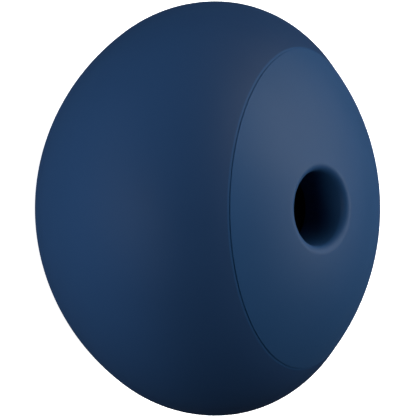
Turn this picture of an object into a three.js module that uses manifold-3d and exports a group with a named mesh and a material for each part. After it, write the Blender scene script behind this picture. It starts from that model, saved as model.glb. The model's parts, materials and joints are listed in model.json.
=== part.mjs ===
// Round wireless earbuds case with a finger well in its lid, a rear hinge and a rear charging port.
// Millimetres, +Z up. Origin: centre of the foot's underside. The finger well faces the front, -Y.

import * as THREE from "three";
import { mergeVertices } from "three/addons/utils/BufferGeometryUtils.js";
import Module from "manifold-3d";

const wasm = await Module();
wasm.setup();

// ---------------------------------------------------------------- driving dimensions

const CLEAR = 0.3; // gap between pieces that touch on the real object
const TURN = 2 * Math.PI;

// Outer form: a solid of revolution about Z
const EQUATOR_R = 30;
const EQUATOR_Z = 24.5;
const SHOULDER_ARC_R = 16.85; // section radius above the equator
const BILGE_ARC_R = 19.5; // section radius just below the equator
const BILGE_ARC_END = THREE.MathUtils.degToRad(32);
const BELLY_ARC_R = 33; // section radius from there to the foot
const SEAM_Z = 38.1;
const LID_CAP_R = 34.5; // the lid is a spherical cap
const LID_APEX_Z = 47.1;
const BASE_WALL = 1.8;
const LID_WALL = 1.5;

// Facets round turned pieces
const ROUND = 36;
const DISC_ROUND = 32;
const WELL_ROUND = 28;
const PAD_ROUND = 24;
const CUP_ROUND = 20;
const SMALL_ROUND = 12;
const HOLE_ROUND = 10;
const SCREW_ROUND = 8;

// Base
const SHELL_BOTTOM_Z = 0.4;
const SHELL_FLOOR_Z = 2.2;
const FOOT_R = 8.6;
const FOOT_TOP_Z = 1;
const MOUTH_R = 21.3;
const LEDGE_Z = 35.7;
const LEDGE_R = 19.4;
const LEDGE_DEPTH = 1.3;
const LEDGE_SLOPE = 1.2; // height of the slope that carries the ledge

// Cradle tray
const TRAY_R = 21;
const TRAY_BOTTOM_Z = 36;
const TRAY_TOP_Z = 37.6;
const POCKET_X = 10;
const POCKET_Y = 3;
const POCKET_R = 7.3;
const POCKET_WALL = 1.1;
const POCKET_FLOOR_R = 3.6;
const POCKET_FLOOR_Z = 23.5;
const POCKET_BOWL_TOP_Z = 30.5;
const TRAY_SCREW_R = 19.9; // radius of the circle the tray's screws stand on
const TRAY_BOSS_R = 1.9;
const TRAY_BOSS_Z = 31;
const TRAY_HOLE_Z = 31.6;
const COUNTERBORE_Z = 36.7;
const BELOW_TRAY_Z = 35; // where cuts through the tray's top plate start and end
const ABOVE_TRAY_Z = 38;
const DISH_GAP = 0.4; // round the lid's well tube, in the dish that it dips into
const DISH_WALL = 1;
const DISH_FLOOR_GAP = 0.4;
const DISH_TOP = -7.4;
const GASKET_IN_R = 19.2;
const GASKET_OUT_R = 20.2;
const GASKET_TOP_Z = 38.35;

// Finger well
const WELL_TILT = THREE.MathUtils.degToRad(14);
const WELL_R = 5.4;
const WELL_LIP = 1.1; // rounding of the well's mouth
const WELL_DEPTH = 8.4;
const WELL_WALL = 0.9;
const WELL_TUBE_END = 9.4;
const GRIP_THICKNESS = 0.8;

// Hinge
const HINGE_Y = 22.6;
const HINGE_Z = SEAM_Z - 0.7; // below the seam, so that the closed lid hides it from the front
const BARREL_R = 1.5;
const PIN_R = 0.6;
const HINGE_HALF = 7.2;
const CENTRE_KNUCKLE_HALF = 3.3;
const WASHER_WIDTH = 0.4;
const LEAF_THICKNESS = 1;
const LEAF_FRONT_Y = 15.5;
const LEAF_SCREW_X = 4.8;
const LEAF_SCREW_Y = 16.7;
const LEAF_BOSS_R = 1.6;
const LEAF_HOLE_R = 0.75;
const ARM_FRONT_Y = 20;
const HINGE_GAP = 0.2; // sideways, between the knuckles and the washers
const ROOM_SIDE = 0.4; // round the hinge, in the pieces that it passes through
const ROOM_ROUND = 0.5;
const ROOM_BOTTOM_Z = 36.5;
const ROOM_TOP_Z = 40;
const LID_ROOM_BOTTOM_Z = 38;
const LID_BOSS_Z = 39.7;

// Electronics
const BOARD_Z = 15.5;
const BOARD_THICKNESS = 1;
const BOARD_R = 17.5;
const POST_X = 5.5;
const POST_Y = 10.9;
const PORT_Z = 19;
const PORT_BOARD_Y = 21.6;
const PORT_BOARD_THICKNESS = 0.8;
const PORT_SCREW_X = 7.6;
const PORT_SCREW_Z = 22.5;
const PORT_BOSS_R = 1.7;
const PORT_HOLE_END_Y = 26.2;
const PORT_CUT_Y = 20; // where the port's cuts start, inside the shell
const BEZEL_X = 5.6; // half sizes of the port's bezel and receptacle
const BEZEL_Z = 2.75;
const BEZEL_WALL = 0.8;
const RECEPTACLE_X = 4.47;
const RECEPTACLE_Z = 1.63;
const RECEPTACLE_WALL = 0.3;
const FLUSH_GAP = 0.1; // how far the rear pieces stay inside the outer form
const BUTTON_Z = 26;
const BUTTON_R = 2.2;
const CONTACT_SPACING = 3;
const CONTACT_TIP_Z = 24.7;
const TIP_HOLE_R = 0.85;
const PIPE_Y = 12;
const PIPE_R = 0.9;

// Screw sizes: shaft and head radius, head height, and lengths under the head
const HOLE_R = 0.9;
const SCREW_SHAFT_R = 0.6;
const SCREW_HEAD_R = 1.1;
const SCREW_HEAD_H = 0.6;
const LONG_SCREW = 4;
const PORT_SCREW = 3.4;
const LEAF_SCREW = 2.6;
const LINER_SCREW = 2.3;

// ---------------------------------------------------------------- solids and materials

// A three.js geometry as a manifold solid with its faces turned outwards.
function solid(geometry) {
  const bare = new THREE.BufferGeometry();
  const source = geometry.index ? geometry.toNonIndexed() : geometry;
  bare.setAttribute("position", source.getAttribute("position"));
  const merged = mergeVertices(bare, 1e-4);
  const vertProperties = merged.attributes.position.array;
  const forward = new Uint32Array(merged.index.array);
  const made = new wasm.Manifold(new wasm.Mesh({ numProp: 3, vertProperties, triVerts: forward }));
  if (made.volume() > 0) return made;
  const triVerts = forward.slice().reverse();
  return new wasm.Manifold(new wasm.Mesh({ numProp: 3, vertProperties, triVerts }));
}

function geometryOf(body) {
  const mesh = body.getMesh();
  const positions = new Float32Array(mesh.numVert * 3);
  for (let i = 0; i < mesh.numVert; i += 1) {
    const start = i * mesh.numProp;
    positions.set(mesh.vertProperties.subarray(start, start + 3), i * 3);
  }
  const geometry = new THREE.BufferGeometry();
  geometry.setAttribute("position", new THREE.BufferAttribute(positions, 3));
  geometry.setIndex(new THREE.BufferAttribute(mesh.triVerts, 1));
  geometry.computeVertexNormals();
  return geometry;
}

// A box from its lowest and highest corners.
function box(low, high) {
  const size = high.map((value, axis) => value - low[axis]);
  const centre = high.map((value, axis) => (value + low[axis]) / 2);
  return solid(new THREE.BoxGeometry(...size).translate(...centre));
}

// A cylinder along Z, standing at x, y.
function post(radius, z0, z1, x = 0, y = 0, sides = SMALL_ROUND) {
  const geometry = new THREE.CylinderGeometry(radius, radius, z1 - z0, sides).rotateX(Math.PI / 2);
  return solid(geometry.translate(x, y, (z0 + z1) / 2));
}

// A cylinder along Y at x, z.
function rodY(radius, y0, y1, x, z, sides = SMALL_ROUND) {
  const geometry = new THREE.CylinderGeometry(radius, radius, y1 - y0, sides);
  return solid(geometry.translate(x, (y0 + y1) / 2, z));
}

// A cylinder along X at y, z.
function rodX(radius, x0, x1, y, z, sides = SMALL_ROUND) {
  const geometry = new THREE.CylinderGeometry(radius, radius, x1 - x0, sides).rotateZ(Math.PI / 2);
  return solid(geometry.translate((x0 + x1) / 2, y, z));
}

// A turned solid about Z. The outline is a list of [radius, z].
function turned(outline, sides = ROUND) {
  const points = outline.map(([radius, z]) => new THREE.Vector2(radius, z));
  return solid(new THREE.LatheGeometry(points, sides).rotateX(Math.PI / 2));
}

function ring(inner, outer, z0, z1, sides = ROUND) {
  return turned([[inner, z0], [outer, z0], [outer, z1], [inner, z1], [inner, z0]], sides);
}

// A ball about the centre of the lid's cap, to trim pieces to the lid's inside.
function capBall(radius) {
  const ball = new THREE.SphereGeometry(radius, ROUND, ROUND / 2).rotateX(Math.PI / 2);
  return solid(ball.translate(0, 0, LID_APEX_Z - LID_CAP_R));
}

// A slot outline with round ends, in its own X and Y.
function slotShape(halfWidth, halfHeight) {
  const shape = new THREE.Shape();
  const straight = halfWidth - halfHeight;
  shape.moveTo(-straight, -halfHeight);
  shape.lineTo(straight, -halfHeight);
  shape.absarc(straight, 0, halfHeight, -Math.PI / 2, Math.PI / 2, false);
  shape.lineTo(-straight, halfHeight);
  shape.absarc(-straight, 0, halfHeight, Math.PI / 2, 1.5 * Math.PI, false);
  return shape;
}

// A slot-shaped bar along Y, centred on x = 0 at the port's height.
function portBar(halfWidth, halfHeight, y0, y1) {
  const options = { depth: y1 - y0, bevelEnabled: false, curveSegments: 6 };
  const bar = new THREE.ExtrudeGeometry(slotShape(halfWidth, halfHeight), options);
  return solid(bar.rotateX(Math.PI / 2).translate(0, y1, PORT_Z));
}

function roundedBlock(halfX, halfY, corner, z0, z1) {
  const shape = new THREE.Shape();
  shape.absarc(halfX - corner, halfY - corner, corner, 0, Math.PI / 2, false);
  shape.absarc(corner - halfX, halfY - corner, corner, Math.PI / 2, Math.PI, false);
  shape.absarc(corner - halfX, corner - halfY, corner, Math.PI, 1.5 * Math.PI, false);
  shape.absarc(halfX - corner, corner - halfY, corner, 1.5 * Math.PI, TURN, false);
  const options = { depth: z1 - z0, bevelEnabled: false, curveSegments: 4 };
  return solid(new THREE.ExtrudeGeometry(shape, options).translate(0, 0, z0));
}

// Points along an arc of the outer form's section.
function arcPoints(centreR, centreZ, radius, from, to, steps) {
  const points = [];
  for (let i = 0; i <= steps; i += 1) {
    const angle = from + ((to - from) * i) / steps;
    points.push([centreR + radius * Math.cos(angle), centreZ + radius * Math.sin(angle)]);
  }
  return points;
}

const material = (color, roughness, metalness = 0) => ({ color, roughness, metalness });
const FINISH = {
  navy: material(0x051c3b, 0.5),
  blackGloss: material(0x08090b, 0.2),
  blackMatte: material(0x0c0d0f, 0.6),
  rubber: material(0x050506, 0.85),
  silicone: material(0x1b2430, 0.7),
  steel: material(0xb9bcc0, 0.3, 1),
  nickel: material(0xcfcdc6, 0.25, 1),
  gold: material(0xd9a441, 0.25, 1),
  copper: material(0xb5652d, 0.35, 1),
  board: material(0x0d3b24, 0.5),
  ferrite: material(0x2a2a2d, 0.7),
  pouch: material(0xa8abad, 0.4, 0.6),
  foam: material(0x202225, 0.95),
  clear: material(0xe8ecef, 0.1),
  flex: material(0xb8702a, 0.5),
};

const whole = new THREE.Group();
const lid = new THREE.Group();
whole.add(lid);

function addMesh(parent, name, geometry, finish) {
  const mesh = new THREE.Mesh(geometry, new THREE.MeshStandardMaterial(FINISH[finish]));
  mesh.name = name;
  parent.add(mesh);
  return mesh;
}

function addSolid(parent, name, body, finish) {
  return addMesh(parent, name, geometryOf(body), finish);
}

// A mirrored pair at +X and -X calls this once for each side.
const SIDES = [
  ["left", -1],
  ["right", 1],
];

// ---------------------------------------------------------------- base shell and foot

const SHOULDER_CENTRE_R = EQUATOR_R - SHOULDER_ARC_R;
const BILGE_CENTRE_R = EQUATOR_R - BILGE_ARC_R;
const BELLY_CENTRE_R = BILGE_CENTRE_R + (BILGE_ARC_R - BELLY_ARC_R) * Math.cos(BILGE_ARC_END);
const BELLY_CENTRE_Z = EQUATOR_Z - (BILGE_ARC_R - BELLY_ARC_R) * Math.sin(BILGE_ARC_END);

// The base's section, moved inwards by inset, from the height z0 up to z1, with steps along its arcs.
function baseSection(inset, z0, z1, steps) {
  const bellyR = BELLY_ARC_R - inset;
  const shoulderR = SHOULDER_ARC_R - inset;
  const start = Math.asin((z0 - BELLY_CENTRE_Z) / bellyR);
  const end = Math.asin((z1 - EQUATOR_Z) / shoulderR);
  return [
    ...arcPoints(BELLY_CENTRE_R, BELLY_CENTRE_Z, bellyR, start, -BILGE_ARC_END, steps[0]),
    ...arcPoints(BILGE_CENTRE_R, EQUATOR_Z, BILGE_ARC_R - inset, -BILGE_ARC_END, 0, steps[1]).slice(1),
    ...arcPoints(SHOULDER_CENTRE_R, EQUATOR_Z, shoulderR, 0, end, steps[2]).slice(1),
  ];
}

// Room for the hinge barrel and leaves, cut from every piece that they pass through.
function hingeRoom(low, high) {
  const half = HINGE_HALF + ROOM_SIDE;
  const barrelRoom = rodX(BARREL_R + ROOM_ROUND, -half, half, HINGE_Y, HINGE_Z, CUP_ROUND);
  return barrelRoom.add(box([-half, LEAF_FRONT_Y - CLEAR, low], [half, EQUATOR_R, high]));
}

function portScrewPlaces() {
  return SIDES.map(([name, side]) => [name, side * PORT_SCREW_X, PORT_SCREW_Z]);
}

function trayScrewPlaces() {
  return ["front_right", "rear_right", "rear_left", "front_left"].map((name, i) => {
    const angle = -Math.PI / 4 + (i * Math.PI) / 2;
    return [name, TRAY_SCREW_R * Math.cos(angle), TRAY_SCREW_R * Math.sin(angle)];
  });
}

function baseShell() {
  const rimZ = SEAM_Z - CLEAR / 2;
  const ledgeFoot = LEDGE_Z - LEDGE_DEPTH;
  const outline = [
    [0, SHELL_BOTTOM_Z],
    ...baseSection(0, SHELL_BOTTOM_Z, rimZ, [4, 3, 5]),
    [MOUTH_R, rimZ],
    [MOUTH_R, LEDGE_Z],
    [LEDGE_R, LEDGE_Z],
    [LEDGE_R, ledgeFoot],
    ...baseSection(BASE_WALL, SHELL_FLOOR_Z, ledgeFoot - LEDGE_SLOPE, [3, 2, 2]).reverse(),
    [0, SHELL_FLOOR_Z],
  ];
  let shell = turned(outline);
  for (const [, x, y] of trayScrewPlaces()) {
    shell = shell.add(post(TRAY_BOSS_R, TRAY_BOSS_Z, LEDGE_Z, x, y));
  }
  const midWall = baseSection(BASE_WALL / 2, SHELL_FLOOR_Z, TRAY_BOTTOM_Z, [3, 2, 2]);
  const wallReach = turned([[0, SHELL_FLOOR_Z], ...midWall, [0, TRAY_BOTTOM_Z]]);
  for (const [, x, z] of portScrewPlaces()) {
    const boss = rodY(PORT_BOSS_R, PORT_BOARD_Y + PORT_BOARD_THICKNESS + CLEAR, EQUATOR_R, x, z);
    shell = shell.add(boss.intersect(wallReach));
  }
  for (const [, x, y] of trayScrewPlaces()) {
    shell = shell.subtract(post(HOLE_R, TRAY_HOLE_Z, ABOVE_TRAY_Z, x, y));
  }
  for (const [, x, z] of portScrewPlaces()) {
    shell = shell.subtract(rodY(HOLE_R, PORT_BOARD_Y, PORT_HOLE_END_Y, x, z));
  }
  return shell
    .subtract(post(FOOT_R + CLEAR, -1, FOOT_TOP_Z + CLEAR, 0, 0, DISC_ROUND))
    .subtract(portBar(BEZEL_X + CLEAR, BEZEL_Z + CLEAR, PORT_CUT_Y, EQUATOR_R + 1))
    .subtract(rodY(BUTTON_R + CLEAR, PORT_CUT_Y, EQUATOR_R + 1, 0, BUTTON_Z))
    .subtract(hingeRoom(ROOM_BOTTOM_Z, ROOM_TOP_Z));
}
addSolid(whole, "base_shell", baseShell(), "navy");
addSolid(whole, "foot_pad", post(FOOT_R, 0, FOOT_TOP_Z, 0, 0, DISC_ROUND), "rubber");

// ---------------------------------------------------------------- finger well frame

// Everything in the well is made upright about the middle of its mouth, then tilted with it.
const capCentreZ = LID_APEX_Z - LID_CAP_R;
const WELL_Y = -LID_CAP_R * Math.sin(WELL_TILT);
const WELL_Z = capCentreZ + LID_CAP_R * Math.cos(WELL_TILT);

function inWell(body) {
  return body.rotate([THREE.MathUtils.radToDeg(WELL_TILT), 0, 0]).translate([0, WELL_Y, WELL_Z]);
}

// ---------------------------------------------------------------- cradle tray

function pocketOutline(wall) {
  const top = TRAY_TOP_Z + (wall ? 0 : 1);
  const points = [[0, POCKET_FLOOR_Z - wall]];
  const steps = 3;
  for (let i = 0; i <= steps; i += 1) {
    const turn = (i / steps) * (Math.PI / 2);
    const radius = POCKET_FLOOR_R + (POCKET_R - POCKET_FLOOR_R) * Math.sin(turn) + wall;
    const rise = (POCKET_BOWL_TOP_Z - POCKET_FLOOR_Z + wall) * (1 - Math.cos(turn));
    points.push([radius, POCKET_FLOOR_Z - wall + rise]);
  }
  points.push([POCKET_R + wall, top], [0, top]);
  return points;
}

function contactPlaces() {
  const places = [];
  for (const [name, side] of SIDES) {
    for (const [end, shift] of [["front", -0.5], ["rear", 0.5]]) {
      places.push([`${name}_${end}`, side * POCKET_X, POCKET_Y + shift * CONTACT_SPACING]);
    }
  }
  return places;
}

function cradleTray() {
  let tray = post(TRAY_R, TRAY_BOTTOM_Z, TRAY_TOP_Z, 0, 0, ROUND);
  const dishR = WELL_R + WELL_WALL + DISH_GAP;
  const dishFloor = -WELL_TUBE_END - DISH_FLOOR_GAP;
  const dish = inWell(post(dishR + DISH_WALL, dishFloor - DISH_WALL, DISH_TOP, 0, 0, PAD_ROUND));
  tray = tray.add(dish.intersect(post(TRAY_R, POCKET_FLOOR_Z, TRAY_TOP_Z, 0, 0, ROUND)));
  for (const [, side] of SIDES) {
    const cup = turned(pocketOutline(POCKET_WALL), CUP_ROUND);
    tray = tray.add(cup.translate([side * POCKET_X, POCKET_Y, 0]));
    tray = tray.add(post(LEAF_BOSS_R, 32.5, TRAY_TOP_Z, side * LEAF_SCREW_X, LEAF_SCREW_Y));
  }
  tray = tray.subtract(inWell(post(dishR, dishFloor, 0, 0, 0, PAD_ROUND)));
  for (const [, side] of SIDES) {
    const hollow = turned(pocketOutline(0), CUP_ROUND);
    tray = tray.subtract(hollow.translate([side * POCKET_X, POCKET_Y, 0]));
    tray = tray.subtract(post(0.8, 33, ABOVE_TRAY_Z, side * LEAF_SCREW_X, LEAF_SCREW_Y));
  }
  for (const [, x, y] of contactPlaces()) {
    tray = tray.subtract(post(TIP_HOLE_R, POCKET_FLOOR_Z - 2, POCKET_FLOOR_Z + 2, x, y));
  }
  for (const [, x, y] of trayScrewPlaces()) {
    tray = tray.subtract(post(HOLE_R, BELOW_TRAY_Z, ABOVE_TRAY_Z, x, y));
    tray = tray.subtract(post(SCREW_HEAD_R + CLEAR, COUNTERBORE_Z, ABOVE_TRAY_Z, x, y));
  }
  return tray
    .subtract(post(PIPE_R + CLEAR, BELOW_TRAY_Z, ABOVE_TRAY_Z, 0, PIPE_Y))
    .subtract(hingeRoom(ROOM_BOTTOM_Z, ROOM_TOP_Z));
}
addSolid(whole, "cradle_tray", cradleTray(), "blackGloss");

function lidGasket() {
  const soft = ring(GASKET_IN_R, GASKET_OUT_R, TRAY_TOP_Z + CLEAR, GASKET_TOP_Z);
  return soft.subtract(hingeRoom(ROOM_BOTTOM_Z, ROOM_TOP_Z));
}
addSolid(whole, "lid_gasket", lidGasket(), "silicone");

// ---------------------------------------------------------------- fasteners

// A pan-head screw, head up, with the underside of its head at z = 0.
function screwGeometry(length, headR = SCREW_HEAD_R, headH = SCREW_HEAD_H, shaftR = SCREW_SHAFT_R) {
  const outline = [[0, -length], [shaftR, -length], [shaftR, 0], [headR, 0], [headR, headH * 0.6]];
  outline.push([headR * 0.75, headH], [0, headH]);
  return geometryOf(turned(outline, SCREW_ROUND));
}

function addScrew(parent, name, geometry, place, turn = [0, 0, 0]) {
  const screw = addMesh(parent, name, geometry.clone(), "steel");
  screw.position.set(...place);
  screw.rotation.set(...turn);
}

const trayScrew = screwGeometry(LONG_SCREW);
for (const [name, x, y] of trayScrewPlaces()) {
  addScrew(whole, `tray_screw_${name}`, trayScrew, [x, y, COUNTERBORE_Z + 0.25]);
}

// ---------------------------------------------------------------- battery, boards and charging

const BATTERY_Z = 5.7;
const BATTERY_H = 7.4;
const PLATE_Z = 4.4;
const PLATE_THICKNESS = 1;
const PLATE_R = 12.8;
const POST_R = 1.4;
const FOAM_Z = 13.4;
const COIL_IN_R = 4.5;
const COIL_OUT_R = 9.6;
const COIL_TOP_Z = 3.3;
const FERRITE_R = 10.8;
const FERRITE_Z = 3.6;
const FERRITE_TOP_Z = 4.1;
const boardTop = BOARD_Z + BOARD_THICKNESS;
const postPlaces = [1, -1].flatMap((x) => [1, -1].map((y) => [x * POST_X, y * POST_Y]));
const boardScrewPlaces = [
  ["front", POST_X, -POST_Y],
  ["rear", -POST_X, POST_Y],
];

function chassis() {
  let frame = post(PLATE_R, PLATE_Z, PLATE_Z + PLATE_THICKNESS, 0, 0, DISC_ROUND);
  for (const [x, y] of postPlaces) frame = frame.add(post(POST_R, PLATE_Z, BOARD_Z - CLEAR, x, y));
  for (const [, x, y] of boardScrewPlaces) {
    frame = frame.subtract(post(HOLE_R, 10, BOARD_Z, x, y, HOLE_ROUND));
  }
  return frame.subtract(roundedBlock(5, 5, 1, PLATE_Z - 1, BATTERY_Z));
}

function mainBoard() {
  let board = post(BOARD_R, BOARD_Z, boardTop, 0, 0, DISC_ROUND);
  for (const [, x, y] of boardScrewPlaces) {
    board = board.subtract(post(HOLE_R, BOARD_Z - 1, boardTop + 1, x, y, HOLE_ROUND));
  }
  return board;
}

const coil = ring(COIL_IN_R, COIL_OUT_R, SHELL_FLOOR_Z + CLEAR, COIL_TOP_Z, WELL_ROUND);
const ferrite = post(FERRITE_R, FERRITE_Z, FERRITE_TOP_Z, 0, 0, WELL_ROUND);
addSolid(whole, "charge_coil", coil, "copper");
addSolid(whole, "ferrite_sheet", ferrite, "ferrite");
addSolid(whole, "chassis", chassis(), "blackMatte");
addSolid(whole, "battery", roundedBlock(12, 9, 2, BATTERY_Z, BATTERY_Z + BATTERY_H), "pouch");
addSolid(whole, "battery_foam", roundedBlock(7, 5.5, 0.6, FOAM_Z, BOARD_Z - CLEAR), "foam");
addSolid(whole, "main_board", mainBoard(), "board");

const boardScrew = screwGeometry(LONG_SCREW);
for (const [name, x, y] of boardScrewPlaces) {
  addScrew(whole, `board_screw_${name}`, boardScrew, [x, y, boardTop + CLEAR]);
}

// ---------------------------------------------------------------- charging port and pairing button

const portBoardBack = PORT_BOARD_Y + PORT_BOARD_THICKNESS;

function portBoard() {
  const half = 9.4;
  let board = box([-half, PORT_BOARD_Y, 15.4], [half, portBoardBack, 29]);
  for (const [, x, z] of portScrewPlaces()) {
    board = board.subtract(rodY(HOLE_R, PORT_BOARD_Y - 1, portBoardBack + 1, x, z, HOLE_ROUND));
  }
  return board;
}

// The base's outer form as a plain solid, to trim pieces that end flush with its surface.
function outerForm(inset) {
  const section = baseSection(inset, 1, SEAM_Z, [2, 4, 5]);
  return turned([[0, 1], ...section, [0, SEAM_Z]], 96);
}

function portBezel() {
  const opening = portBar(BEZEL_X - BEZEL_WALL, BEZEL_Z - BEZEL_WALL, PORT_CUT_Y, EQUATOR_R + 1);
  return portBar(BEZEL_X, BEZEL_Z, 27.2, EQUATOR_R).subtract(opening).intersect(outerForm(FLUSH_GAP));
}

function usbReceptacle() {
  const backY = portBoardBack + CLEAR;
  const wall = RECEPTACLE_WALL;
  const hollow = portBar(RECEPTACLE_X - wall, RECEPTACLE_Z - wall, backY + 2 * wall, 29);
  return portBar(RECEPTACLE_X, RECEPTACLE_Z, backY, 28.3).subtract(hollow);
}

function pairingButton() {
  const cap = rodY(BUTTON_R, 26.5, EQUATOR_R + 1, 0, BUTTON_Z).intersect(outerForm(FLUSH_GAP));
  const flange = rodY(BUTTON_R + 0.6, 26.4, 27.2, 0, BUTTON_Z);
  const plunger = rodY(1, 24.9, 26.6, 0, BUTTON_Z);
  return cap.add(flange).add(plunger);
}

function flexCable() {
  const half = 2.5;
  const thickness = 0.35;
  const z = boardTop + CLEAR;
  const y = PORT_BOARD_Y - CLEAR - thickness;
  const low = box([-half, 13.5, z], [half, y + thickness, z + thickness]);
  return low.add(box([-half, y, z], [half, y + thickness, 20.5]));
}

addSolid(whole, "port_board", portBoard(), "board");
addSolid(whole, "port_bezel", portBezel(), "blackGloss");
addSolid(whole, "usb_receptacle", usbReceptacle(), "nickel");
const tongue = box([-3.35, 23.8, PORT_Z - 0.35], [3.35, 27.8, PORT_Z + 0.35]);
addSolid(whole, "usb_tongue", tongue, "blackMatte");
addSolid(whole, "flex_cable", flexCable(), "flex");
addSolid(whole, "pairing_button", pairingButton(), "navy");
const switchHalf = 1.6;
const switchLow = [-switchHalf, portBoardBack + CLEAR, BUTTON_Z - switchHalf];
const switchBox = box(switchLow, [switchHalf, 24.2, BUTTON_Z + switchHalf]);
addSolid(whole, "button_switch", switchBox, "steel");

const portScrew = screwGeometry(PORT_SCREW);
for (const [name, x, z] of portScrewPlaces()) {
  const place = [x, PORT_BOARD_Y - CLEAR, z];
  addScrew(whole, `port_screw_${name}`, portScrew, place, [Math.PI / 2, 0, 0]);
}

// ---------------------------------------------------------------- earbud contacts, magnets and light

const BLOCK_TOP_Z = POCKET_FLOOR_Z - POCKET_WALL - CLEAR;
const SPRING_FOOT_Z = 18.3;
const COLLAR_Z = 20.6;
const CONTACT_BORE_R = 1.15;
const BLOCK_X = 1.8; // half sizes of a contact block
const BLOCK_Y = 3.2;
const COIL_R = 0.65;
const WIRE_R = 0.12;
const COLLAR_R = 0.85;
const COLLAR_H = 0.7;
const TIP_R = 0.55;

function contactBlock(side) {
  const low = [side * POCKET_X - BLOCK_X, POCKET_Y - BLOCK_Y, boardTop + CLEAR];
  let block = box(low, [side * POCKET_X + BLOCK_X, POCKET_Y + BLOCK_Y, BLOCK_TOP_Z]);
  for (const shift of [-0.5, 0.5]) {
    const y = POCKET_Y + shift * CONTACT_SPACING;
    block = block.subtract(post(CONTACT_BORE_R, SPRING_FOOT_Z - CLEAR, 23, side * POCKET_X, y));
  }
  return block;
}

function springGeometry() {
  const turns = 3;
  const height = COLLAR_Z - CLEAR - SPRING_FOOT_Z;
  class Helix extends THREE.Curve {
    getPoint(t, target = new THREE.Vector3()) {
      const angle = t * turns * TURN;
      const rise = WIRE_R + t * (height - 2 * WIRE_R);
      return target.set(COIL_R * Math.cos(angle), COIL_R * Math.sin(angle), rise);
    }
  }
  const wire = new THREE.Shape().absarc(0, 0, WIRE_R, 0, TURN, false);
  const options = { steps: turns * 6, curveSegments: 2, bevelEnabled: false, extrudePath: new Helix() };
  return geometryOf(solid(new THREE.ExtrudeGeometry(wire, options)));
}

// The collar's underside is at z = 0, and the tip is rounded.
function contactPinGeometry() {
  const tip = CONTACT_TIP_Z - COLLAR_Z;
  const outline = [[0, 0], [COLLAR_R, 0], [COLLAR_R, COLLAR_H], [TIP_R, COLLAR_H]];
  outline.push([TIP_R, tip - 0.4], [TIP_R - 0.2, tip], [0, tip]);
  return geometryOf(turned(outline, SCREW_ROUND));
}

for (const [name, side] of SIDES) {
  addSolid(whole, `contact_block_${name}`, contactBlock(side), "blackMatte");
  const magnet = post(1.5, 19, BLOCK_TOP_Z - 0.1, side * POCKET_X, POCKET_Y - 5.2);
  addSolid(whole, `bud_magnet_${name}`, magnet, "nickel");
}
for (const [name, x, y] of contactPlaces()) {
  const pin = addMesh(whole, `contact_pin_${name}`, contactPinGeometry(), "gold");
  pin.position.set(x, y, COLLAR_Z);
  const spring = addMesh(whole, `contact_spring_${name}`, springGeometry(), "steel");
  spring.position.set(x, y, SPRING_FOOT_Z);
}

const lightSeat = boardTop + CLEAR;
const lightH = 0.6;
const light = box([-0.8, PIPE_Y - 0.5, lightSeat], [0.8, PIPE_Y + 0.5, lightSeat + lightH]);
const pipe = post(PIPE_R, lightSeat + lightH + CLEAR, TRAY_TOP_Z + 0.2, 0, PIPE_Y);
const magnetTop = TRAY_BOTTOM_Z - CLEAR;

// A bar magnet under the front of the lid, from z0 up to z1
function barMagnet(z0, z1) {
  return box([-4, -16.8, z0], [4, -14.3, z1]);
}

addSolid(whole, "status_led", light, "clear");
addSolid(whole, "light_pipe", pipe, "clear");
addSolid(whole, "base_magnet", barMagnet(magnetTop - 1, magnetTop), "nickel");
addSolid(whole, "hall_sensor", box([5.4, -16, magnetTop - 0.6], [7, -14.4, magnetTop]), "blackMatte");

// ---------------------------------------------------------------- hinge

const WASHER_IN = CENTRE_KNUCKLE_HALF + HINGE_GAP;
const OUTER_KNUCKLE_IN = WASHER_IN + WASHER_WIDTH + HINGE_GAP;
const BASE_LEAF_Z = TRAY_TOP_Z + 0.2 - LEAF_THICKNESS;
const LID_LEAF_Z = SEAM_Z + CLEAR;
const PIN_HOLE_R = PIN_R + CLEAR;
const LEAF_HEAD_R = 0.9;
const LEAF_HEAD_H = 0.35;

// A leaf's plate with its two screw holes, counterbored from the side that the screws go in.
function leafPlate(z, headZ) {
  const rearY = HINGE_Y - BARREL_R - CLEAR - HINGE_GAP;
  let plate = box([-HINGE_HALF, LEAF_FRONT_Y, z], [HINGE_HALF, rearY, z + LEAF_THICKNESS]);
  for (const [, side] of SIDES) {
    const x = side * LEAF_SCREW_X;
    plate = plate.subtract(post(LEAF_HOLE_R, z - 1, z + 2, x, LEAF_SCREW_Y, HOLE_ROUND));
    plate = plate.subtract(post(LEAF_HEAD_R + 0.25, headZ, headZ + 0.7, x, LEAF_SCREW_Y));
  }
  return plate;
}

function pinHole() {
  return rodX(PIN_HOLE_R, -HINGE_HALF - 1, HINGE_HALF + 1, HINGE_Y, HINGE_Z);
}

function hingeBaseLeaf() {
  let leaf = leafPlate(BASE_LEAF_Z, BASE_LEAF_Z + LEAF_THICKNESS - 0.6);
  for (const [, side] of SIDES) {
    const ends = [side * OUTER_KNUCKLE_IN, side * HINGE_HALF].sort((a, b) => a - b);
    const armHigh = [ends[1], HINGE_Y, BASE_LEAF_Z + LEAF_THICKNESS];
    const arm = box([ends[0], ARM_FRONT_Y, BASE_LEAF_Z], armHigh);
    leaf = leaf.add(arm).add(rodX(BARREL_R, ...ends, HINGE_Y, HINGE_Z));
  }
  return leaf.subtract(pinHole());
}

function hingeLidLeaf() {
  const half = CENTRE_KNUCKLE_HALF;
  const neck = box([-half, ARM_FRONT_Y, LID_LEAF_Z], [half, HINGE_Y, LID_LEAF_Z + LEAF_THICKNESS]);
  const knuckle = rodX(BARREL_R, -half, half, HINGE_Y, HINGE_Z);
  const leaf = leafPlate(LID_LEAF_Z, LID_LEAF_Z - 0.1).add(neck).add(knuckle);
  return leaf.subtract(pinHole());
}

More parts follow.
